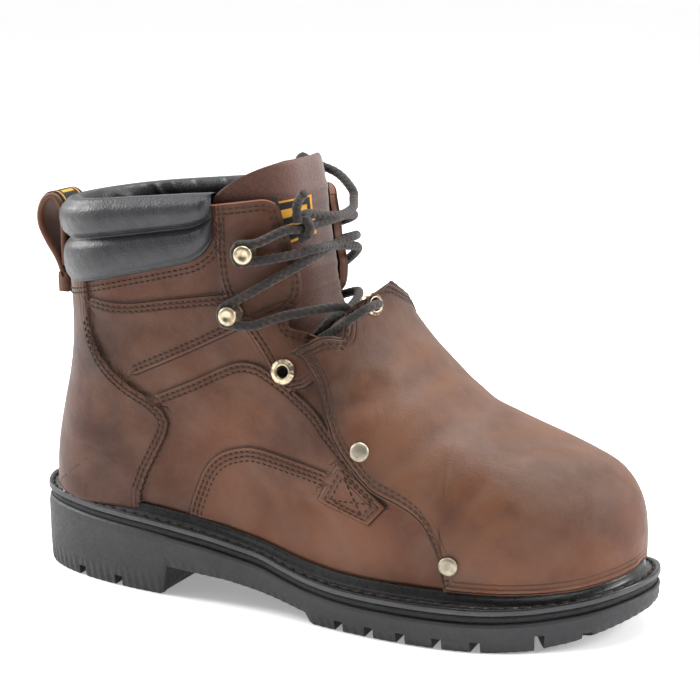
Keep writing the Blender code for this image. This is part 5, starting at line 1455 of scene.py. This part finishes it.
# Collar, tongue and pull loop

def collar_front(s, side):
    """Place of the collar's front end at a section."""
    f = np.linspace(0.2, 1, 300) * side
    p = on_form(np.full_like(f, s), f)
    return float(np.interp(-COLLAR_X * LENGTH, -p[:, 0], f))


def collar_low(q):
    """Section of the collar's lower edge, swept up in a round corner at the front."""
    round_up = 1.25 * (1 - math.sqrt(max(0.0, 1 - (1 - min(1.0, q / 0.13)) ** 2)))
    return 25.0 + 0.75 * math.sin(0.5 * math.pi * q) + round_up


def build_collar():
    """Two padded puffs over the topline with fine wrinkles and a sewn valley between them."""
    pad = COLLAR_PAD
    within = -WALL - GAP * 1.5
    valley_at = 0.49
    profile = np.array([
        (0.0, 0.0008), (0.015, 0.0024), (0.05, 0.50 * pad), (0.13, 0.86 * pad), (0.26, 1.02 * pad),
        (0.38, 0.88 * pad), (0.45, 0.52 * pad), (valley_at, 0.0014), (0.53, 0.52 * pad), (0.60, 0.92 * pad),
        (0.76, 1.15 * pad), (0.90, 0.98 * pad), (0.99, 0.0026), (1.04, 0.0008), (1.05, -0.0016),
        (1.03, within - 0.0024), (0.90, within - 0.0040), (0.70, within - 0.0026), (0.45, within - 0.0004),
        (0.2, within),
    ])
    line = smooth_route(profile, 90)
    steps = np.concatenate([[0, 0.004, 0.012], np.linspace(0.03, 1, 110)])
    top = TOPLINE + 0.62
    rows, hints = [], []
    for side in (-1, 1):
        order = steps if side < 0 else steps[::-1][1:]
        for q in order:
            low = collar_low(q)
            s = low + line[:, 0] * (top - low)
            a = np.array([collar_front(v, side) for v in np.linspace(low, top, 6)])
            a = np.interp(s, np.linspace(low, top, 6), a)
            f = a + (side - a) * q
            base, normal = on_form(s, f, 0.0, True)
            off = line[:, 1].copy()
            puffed = np.clip(off / pad, 0, 1)
            x = base[:, 0] * 1000 + 3.1 * base[:, 2] * 1000 * 0.25
            y = base[:, 1] * 1000
            wave = np.sin(0.55 * x + 1.3 * side) * np.sin(0.21 * x - 0.4 * y)
            wave = wave + 0.6 * np.sin(0.95 * y + 0.3 * x)
            off += puffed * 0.00007 * wave
            folds = np.maximum(0, np.sin(0.42 * x + 0.8 * np.sin(0.13 * x) + side)) ** 3
            folds = folds * np.clip(line[:, 0] * 1.6, 0, 1)
            off -= np.where(off < -0.0015, 0.0008 * folds, 0.0)
            ends = rise(q / 0.03 + 0.12)
            off = np.where(off > 0.001, 0.0010 + (off - 0.0010) * ends, off)
            rows.append(base + normal * off[:, None])
            hints.append(np.where((off > -0.0008)[:, None], normal, -normal))
    rows, hints = np.array(rows), np.array(hints)
    count, across = rows.shape[:2]
    item = add_piece("collar_padding", rows.reshape(-1, 3), grid_faces(count, across), DARK, "collar_leather",
                     ("padded_collar",), None, hints.reshape(-1, 3))
    valley = int(np.argmin(np.where(np.abs(line[:, 0] - valley_at) < 0.03, line[:, 1], 1)))
    seam = (rows[:, valley] + hints[:, valley] * 0.0003, hints[:, valley])
    stitches([seam], "collar_threads", "collar_leather")


def build_tongue():
    """Suede tongue with a rounded top edge, a dark lining and a plain woven label."""
    s = np.concatenate([np.linspace(8.9, 29.2, 120), np.linspace(29.27, 29.96, 16)])
    wide = 61
    t = np.linspace(-1, 1, wide)
    outer, inner, hints = [], [], []
    for k in s:
        more = 0.055 * BALL * min(1.0, max(0.0, k - 8.6) / 1.6)
        held = min(k, TOPLINE)
        narrow = math.sqrt(max(0.0, 1 - (max(0.0, k - 28.1) / 1.95) ** 2))
        more += 0.026 * float(rise((k - 25.5) / 2.2))
        a, b = throat_edge(held, -1, more) * narrow, throat_edge(held, 1, more) * narrow
        f = a + (b - a) * (t + 1) / 2
        top = -(WALL + TONGUE_DROP)
        round_end = 0.0012 * (1 - min(1.0, (29.96 - k) / 0.25)) ** 2
        sag = 0.0002 * np.sin(k * 1.9) * np.cos(t * 2.2) * (k < 29) + 0.0001 * np.sin(k * 4.3 + t * 2)
        p, n = on_form(np.full(wide, k), f, top - round_end + np.minimum(sag, 0.0006), True)
        outer.append(p)
        inner.append(p - n * (TONGUE_T - 2 * round_end))
        hints.append(n)
    outer, inner, hints = np.array(outer), np.array(inner), np.array(hints)
    n = len(s) * wide
    faces = grid_faces(len(s), wide)
    look = [0] * len(faces)
    back = [tuple(i + n for i in face)[::-1] for face in faces]
    last = (len(s) - 1) * wide
    rim = [(last + j, last + j + 1, n + last + j + 1, n + last + j) for j in range(wide - 1)]
    for i in range(len(s) - 1):
        for j in (0, wide - 1):
            rim.append((i * wide + j, (i + 1) * wide + j, n + (i + 1) * wide + j, n + i * wide + j))
    look += [1] * len(back) + [0] * len(rim)
    points = np.concatenate([outer.reshape(-1, 3), inner.reshape(-1, 3)])
    both = np.concatenate([hints.reshape(-1, 3), -hints.reshape(-1, 3)])
    add_piece("tongue_leather", points, faces + back + rim, [SUEDE, LINING], "tongue_suede", ("tongue",),
              outward=both, face_look=look)
    build_label()


def build_label():
    """Black woven label on the tongue, with a border and three plain bars."""
    count = 60
    s, f = np.linspace(*LABEL_SECTIONS, count), np.linspace(*LABEL_PLACES, count)
    f_grid, s_grid = np.meshgrid(f, s)
    p, normals = on_form(s_grid, f_grid, -(WALL + TONGUE_DROP) + 0.0009, True)
    v, u = np.meshgrid(np.linspace(0, 1, count), np.linspace(0, 1, count))
    border = np.minimum(np.minimum(u, 1 - u), np.minimum(v, 1 - v)) < 0.06
    bars = (np.abs(u - 0.68) < 0.09) | (np.abs(u - 0.40) < 0.035) | (np.abs(u - 0.24) < 0.035)
    bars = bars & (v > 0.16) & (v < 0.84)
    add_piece("tongue_label", p.reshape(-1, 3), grid_faces(count, count), LABEL, "tongue_suede",
              data={"mark": (border | bars).astype(float).reshape(-1)}, outward=normals.reshape(-1, 3))


def build_loop():
    """Folded leather pull with rounded edges and a dark woven tape on its outside."""
    middle = smooth_route([(x * LENGTH / 100, 0.0, z * SHAFT / 100) for x, z in LOOP], 120)
    ahead = np.gradient(middle, axis=0)
    ahead /= np.linalg.norm(ahead, axis=1)[:, None]
    side = np.stack([ahead[:, 2], np.zeros(len(middle)), -ahead[:, 0]], axis=1)
    half, wide = LOOP_T / 2, LOOP_W / 2
    r = 0.0009
    flat = np.linspace(-wide + 0.003, wide - 0.003, 8)
    ring = [(-wide, -half + r), (-wide + r, -half), *((y, -half) for y in flat), (wide - r, -half)]
    ring += [(wide, -half + r), (wide, half - r), (wide - r, half), *((y, half) for y in -flat)]
    ring += [(-wide + r, half), (-wide, half - r)]
    rows = np.array([[at + np.array([0, y, 0]) + out * h for y, h in ring] for at, out in zip(middle, side)])
    foot = []
    foot_x, foot_z = LOOP[0][0] * LENGTH / 100, LOOP[0][1] * SHAFT / 100
    for z, grow in ((-0.0075, 0.0), (-0.004, 0.0006), (0.0, 0.0008), (0.0022, 0.0)):
        x0, x1 = foot_x - 0.0026 - grow * 0.3, foot_x + 0.0026
        foot.append([(x0, -wide, z), (x0, wide, z), (x1, wide, z), (x1, -wide, z)])
    foot = np.array(foot) + (0, 0, foot_z)
    p, f = joined([
        (rows.reshape(-1, 3), grid_faces(len(middle), len(ring), wrap=True)),
        (foot.reshape(-1, 3), grid_faces(len(foot), 4, wrap=True)),
    ])
    out_of_foot = (foot - foot.mean(axis=(0, 1))) * (1, 1, 0)
    hints = np.concatenate([(rows - middle[:, None]).reshape(-1, 3), out_of_foot.reshape(-1, 3)])
    zeros = np.zeros(len(p))
    add_piece("pull_strap", p, f, BROWN, "brown_leather", ("pull_loop",),
              {"seam_d": zeros, "seam_on": zeros, "pull": zeros + 0.1}, hints)
    columns = np.linspace(-wide + 0.0022, wide - 0.0022, 40)
    run = slice(56, 106)
    tape = np.array([
        [at + np.array([0, y, 0]) - out * (half + 0.0005) for y in columns]
        for at, out in zip(middle[run], side[run])
    ])
    u, v = np.meshgrid(np.linspace(0, 1, len(columns)), np.linspace(0, 1, len(tape)))
    border = (np.abs(u - 0.5) < 0.42) & (np.abs(u - 0.5) > 0.36)
    bars = (np.abs((v * 5) % 1 - 0.5) < 0.16) & (np.abs(u - 0.5) < 0.26)
    add_piece("strap_tape", tape.reshape(-1, 3), grid_faces(len(tape), len(columns)), LABEL, "brown_leather",
              data={"mark": (border | bars).astype(float).reshape(-1)},
              outward=np.repeat(-side[run], len(columns), axis=0))


# Hardware

def spot(surface, s, f):
    """Foot and outward normal on a surface of sections and places."""
    foot = surface(s, f)
    u = surface(s + 0.05, f) - surface(s - 0.05, f)
    v = surface(s, f + 0.01) - surface(s, f - 0.01)
    normal = np.cross(v, u)
    normal /= np.linalg.norm(normal)
    hint = foot - np.array([0.25 * LENGTH, 0, foot[2] - 0.01])
    return foot, normal if np.dot(normal, hint) > 0 else -normal


def upper_face(s, f):
    return on_form(s, f, 1.5 * GAP + OVERLAY_T)


def guard_spot(s, q):
    """Foot and outward normal on the guard."""
    foot = guard_at(s, q, GUARD_T)
    u = guard_at(s + 0.05, q, GUARD_T) - guard_at(s - 0.05, q, GUARD_T)
    v = guard_at(s, q + 0.02, GUARD_T) - guard_at(s, q - 0.02, GUARD_T)
    normal = np.cross(v, u)
    normal /= np.linalg.norm(normal)
    return foot, normal if np.dot(normal, foot - np.array([0.6 * LENGTH, 0, 0.02])) > 0 else -normal


def hardware_spots():
    """Foot and outward normal of every piece of hardware, by name."""
    on_upper = {**HOOKS, **BOOT_EYELETS}
    found = {name: spot(upper_face, *place_at(x, z, side)) for name, (x, z, side) in on_upper.items()}
    found.update({name: guard_spot(s, q) for name, (s, q) in {**RIVETS, **GUARD_EYELETS}.items()})
    return found


def eyelet(hole, flange, thick):
    """A rolled grommet with a barrel and an inside foot."""
    low = -thick - 3 * GAP
    outer = [(flange, 0.0001), (flange + 0.0001, 0.0005), (flange - 0.0006, 0.0011), (0.72 * flange, 0.0014)]
    lip = [(hole + 0.0010, 0.0017), (hole + 0.0004, 0.0016), (hole, 0.0010), (hole, low)]
    return outer + lip + [(hole + 0.0016, low - 0.0006)]


def build_hardware(spots):
    """Eyelet rings, speed hooks and rivet heads, turned round their normals."""
    for name in {**BOOT_EYELETS, **GUARD_EYELETS}:
        foot, normal = spots[name]
        boot = name in BOOT_EYELETS
        flange = EYELET_R if boot else EYELET_R * 0.9
        thick = WALL + OVERLAY_T if boot else GUARD_T
        p, f = lathe(eyelet(EYELET_HOLE, flange, thick), 48)
        dimple = np.hypot(p[:, 0], p[:, 1]) > EYELET_HOLE + 0.0012
        p[:, 2] -= dimple * 0.00018 * (1 + np.cos(16 * np.arctan2(p[:, 1], p[:, 0])))
        ring = stand(p, foot + normal * 0.0003, normal)
        add_piece(name + "_ring", ring, f, BRASS, "antique_brass", (name,))
    for name in HOOKS:
        foot, normal = spots[name]
        base = 2 * GAP
        cap = base + HOOK_NECK
        profile = [
            (HOOK_R, base - 0.0004), (HOOK_R + 0.0002, base + 0.0004), (HOOK_R - 0.0006, base + 0.0009),
            (0.0026, base + 0.0013), (0.0017, base + 0.0022), (0.0016, base + 0.0050), (0.0019, cap - 0.0008),
            (0.0034, cap - 0.0004), (HOOK_R - 0.0002, cap + 0.0001), (HOOK_R, cap + 0.0005),
            (HOOK_R - 0.0004, cap + 0.0010), (0.0030, cap + 0.0013), (0.0020, cap + 0.0013),
            (0.0014, cap + 0.0007), (0.0005, cap + 0.0006), (0.00001, cap + 0.0006),
        ]
        p, f = lathe(profile, 36)
        look = [1 if k < 4 * 36 else 0 for k in range(len(f))]
        add_piece(name + "_post", stand(p, foot, normal), f, [BRASS, BASE_METAL], "antique_brass", (name,),
                  face_look=look)
    for name in RIVETS:
        foot, normal = spots[name]
        base = 1.5 * GAP
        dome, dome_at = base + 0.0009, 0.86
        profile = [
            (RIVET_R, base - 0.0006), (RIVET_R + 0.0001, base + 0.0002), (RIVET_R - 0.0002, base + 0.0006),
            (RIVET_R * dome_at, dome),
        ]
        for k in (0.7, 0.5, 0.3, 0.12, 0.001):
            profile.append((RIVET_R * k, dome + 0.0006 * (1 - (k / dome_at) ** 2)))
        p, f = lathe(profile, 40)
        add_piece(name + "_head", stand(p, foot, normal), f, PLATED, "antique_brass", (name,))


# Lace

def hook_turn(place):
    """The lace's way behind a hook's neck, and the way to the hook's front."""
    foot, normal = place
    centre = foot + normal * (2 * GAP + 0.0011 + HOOK_NECK / 2)
    upward = np.array([0, 0, 1.0]) - normal * normal[2]
    upward /= np.linalg.norm(upward)
    front = np.cross(upward, normal)
    front = front if front[0] > 0 else -front
    reach = 0.0019 + LACE_R + 2 * GAP
    turns = [math.radians(a) for a in (-112, -135, -180, 135, 112)]
    return [centre + reach * (front * math.cos(t) + upward * math.sin(t)) for t in turns], front


def over_throat(start, end, highest, lowest):
    """A lace's way from one side of the throat to the other, closer to the tongue in the middle."""
    found = []
    for t in (0.16, 0.30, 0.42, 0.5, 0.58, 0.70, 0.84):
        s = start[0] + (end[0] - start[0]) * t
        f = start[1] + (end[1] - start[1]) * t
        share = min(1.0, abs(2 * t - 1) / 0.62)
        found.append(on_form(s, f, lowest + (highest - lowest) * (3 * share**2 - 2 * share**3)))
    return found


def braid_waves(turns, reach):
    """The two sets of strands that cross on the lace, and the twist so far."""
    twist = 2 * math.pi * reach / BRAID_PITCH
    return np.cos(3 * turns + twist * 1.5), np.cos(3 * turns - twist * 1.5), twist


def lace_radius(turns, reach):
    a, b, _ = braid_waves(turns, reach)
    return LACE_R * (1.0 + 0.09 * np.maximum(a, b))


def lace_piece(name, route, nodes):
    """A braided lace along a route, with its item, route and length."""
    route = resampled(smooth_route(route, 300), 0.00045)
    p, f, turns, reach, total = tube(route, lace_radius, 18)
    a, b, twist = braid_waves(turns, reach)
    mark = (a > b).astype(float) * (0.35 + 0.65 * (np.sin(turns + twist * 0.25) > 0.2))
    item = add_piece(name, p, f, CORD, "lace_fabric", nodes, {"braid": mark})
    return item, route, total


# Lace between the guard's eyelets and the boot, millimetres from the heel: under the tab, and over its edge
LACE_BEHIND = (
    (177.7, -8.0, 137.9), (175.4, -14.0, 137.9), (172.7, -19.0, 140.0), (170.6, -23.0, 142.4),
    (166.5, -26.0, 142.4), (160.5, -29.0, 141.5), (153.4, -33.0, 140.0), (146.1, -36.5, 138.4),
)
LACE_OVER = (
    (185.2, -29.0, 144.2), (182.4, -31.5, 142.2), (178.2, -33.0, 139.2), (170.9, -30.0, 134.1),
    (162.0, -25.0, 128.6), (153.0, -20.0, 123.6),
)
# Then over the tongue on the way to the medial hook: section and place
LACE_TONGUE = ((12.4, -0.12), (13.4, 0.0), (15.6, 0.12), (17.8, 0.19))


def build_lace(places):
    """Two strands from the guard's eyelets over the hooks to the knot, then the tucked end and the stub."""
    spots = {name: place_at(x, z, side) for name, (x, z, side) in HOOKS.items()}
    for side, eye, low_hook, high_hook in (
        (1, "guard_eyelet_medial_upper", "hook_lateral_lower", "hook_medial_upper"),
        (-1, "guard_eyelet_lateral_upper", "hook_medial_lower", "hook_lateral_upper"),
    ):
        foot, normal = places[eye]
        low_turn, low_front = hook_turn(places[low_hook])
        high_turn, _ = hook_turn(places[high_hook])
        s_low, f_low = spots[low_hook]
        s_high, f_high = spots[high_hook]
        if side > 0:
            way = [foot + normal * off for off in (-0.0040, -0.0070)]
            way += [np.array(p) / 1000 for p in LACE_BEHIND]
            way.append(low_turn[0] + low_front * 0.0120 + places[low_hook][1] * 0.0009)
        else:
            way = [foot + normal * off for off in (-0.0060, -0.0015, 0.0010, 0.0030)]
            way += [np.array(p) / 1000 for p in LACE_OVER]
            way += [on_form(s, f, 0.0045) for s, f in LACE_TONGUE]
        across = over_throat((s_low + 0.6, f_low), (s_high - 0.6, f_high), LACE_HIGH, LACE_LOW)
        if side > 0:
            end = (KNOT[0] + 0.1, KNOT[1])
            last = over_throat((s_high + 0.6, f_high), end, LACE_HIGH, LACE_LOW + 0.001)[:6]
        else:
            last = [
                on_form(s_high + 0.45, f_high * 0.75 + KNOT[1] * 0.25, 0.0088),
                on_form(KNOT[0] + 0.3, f_high * 0.3 + KNOT[1] * 0.7, 0.0070),
            ]
        route = way + low_turn + across + high_turn + last + [on_form(*KNOT, LACE_HIGH - 0.002)]
        nodes = ("lace_crossings",) if side > 0 else ()
        lace_piece("lace_strand_medial" if side > 0 else "lace_strand_lateral", route, nodes)
    centre = on_form(*KNOT, LACE_HIGH - 0.002)
    ahead = on_form(*KNOT, LACE_HIGH + 0.008) - centre
    ahead[1] = 0.0
    ahead /= np.linalg.norm(ahead)
    upward = np.array([-ahead[2], 0.0, ahead[0]])
    medial = np.array([0.0, 1.0, 0.0])
    ring = 2 * LACE_R + 2 * GAP
    route = []
    for turn in np.linspace(-0.27, 0.20, 12):
        angle = 2 * math.pi * turn
        slide = medial * turn * (2 * LACE_R + 3 * GAP)
        route.append(centre + slide + ring * (ahead * math.cos(angle) + upward * math.sin(angle)))
    edge = throat_edge(28.0, 1)
    tucked = edge + 0.62 * (collar_front(27.9, 1) - edge)
    route += [
        centre + medial * 0.0048 + ahead * 0.0020 + upward * 0.0062,
        on_form(25.2, -0.02, 0.0070), on_form(25.4, 0.08, 0.0072), on_form(26.3, 0.135, 0.0078),
        on_form(27.3, 0.16, 0.0084), on_form(28.5, 0.6 * edge + 0.4 * tucked, 0.0082),
        on_form(29.25, tucked, 0.0050),
        on_form(29.55, tucked, -0.0010), on_form(29.1, tucked, -0.0062), on_form(28.2, tucked, -0.0080),
        on_form(26.8, tucked, -0.0088), on_form(25.2, tucked, -0.0096),
    ]
    item, path, total = lace_piece("lace_long_end", route, ("lace_tail",))
    path = path - (ORIGIN_X * LENGTH, 0, 0)
    top = ring + LACE_R + 1.5 * GAP
    above = centre - medial * 0.0022
    stub = [
        above + upward * (top - 0.004), above + upward * top,
        above + upward * (top + 0.0035) + ahead * 0.0006,
        above + upward * (top + 0.0070) + ahead * 0.0032 - medial * 0.0015,
        above + upward * (top + 0.0095) + ahead * 0.0070 - medial * 0.0040,
    ]
    lace_piece("lace_short_end", stub, ("lace_stub",))


def set_stage():
    """Pale floor, soft studio light and the photograph's view."""
    mesh = bpy.data.meshes.new("floor")
    mesh.from_pydata([(-6, -6, 0), (6, -6, 0), (6, 6, 0), (-6, 6, 0)], [], [(0, 1, 2, 3)])
    floor = bpy.data.objects.new("floor", mesh)
    bpy.context.scene.collection.objects.link(floor)
    look, tree, shader = new_look("floor_pale")
    pale = ramp(tree, noise(tree, 3.0, 2.0), ((0.3, 0.93), (0.7, 0.95)))
    tree.links.new(pale, shader.inputs["Base Color"])
    shader.inputs["Roughness"].default_value = 0.9
    shader.inputs["Emission Color"].default_value = (1.0, 1.0, 1.0, 1)
    shader.inputs["Emission Strength"].default_value = 0.30
    mesh.materials.append(look)
    world = bpy.data.worlds.new("studio")
    bpy.context.scene.world = world
    world.use_nodes = True
    tree = world.node_tree
    way = node(tree, "ShaderNodeTexCoord").outputs["Generated"]
    inputs = {0: way, 1: (0.45, -0.86, 0.24)}
    facing = node(tree, "ShaderNodeVectorMath", inputs, operation="DOT_PRODUCT").outputs["Value"]
    share = maths(tree, "MULTIPLY_ADD", facing, 0.5, 0.5)
    dim = ramp(tree, share, ((0.0, 1.0), (0.60, 1.0), (0.80, 0.22), (1.0, 0.12)))
    tree.links.new(dim, tree.nodes["Background"].inputs["Color"])
    tree.nodes["Background"].inputs["Strength"].default_value = 1.0
    for name, place, size, power in (
        ("key", (-1.20, -0.05, 0.80), 0.6, 22.0),
        ("front", (1.35, 0.20, 0.75), 0.6, 15.0),
        ("top", (0.25, 0.15, 1.4), 0.8, 19.0),
    ):
        light = bpy.data.lights.new(name, "AREA")
        light.energy = power
        light.size = size
        item = bpy.data.objects.new(name, light)
        item.location = place
        item.rotation_euler = (Vector((0.11, 0, 0.08)) - Vector(place)).to_track_quat("-Z", "Y").to_euler()
        bpy.context.scene.collection.objects.link(item)
    camera = bpy.data.cameras.new("view")
    camera.sensor_width = 36.0
    camera.lens = 102.86
    item = bpy.data.objects.new("view", camera)
    item.location = (0.49982, -0.8249, 0.3186)
    item.rotation_euler = (math.radians(77.5), 0.0, math.radians(24.765))
    bpy.context.scene.collection.objects.link(item)
    bpy.context.scene.camera = item
    bpy.context.scene.view_settings.view_transform = "Standard"


set_stage()
PLACES = hardware_spots()
build_lace(PLACES)
UPPER = build_upper([PLACES[name] for name in BOOT_EYELETS])
sew_upper(UPPER)
build_guard([PLACES[name] for name in GUARD_EYELETS])
build_welt()
build_sole()
build_collar()
build_tongue()
build_loop()
build_hardware(PLACES)
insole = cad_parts["insole"]
insole.data.materials.clear()
insole.data.materials.append(BOARD)
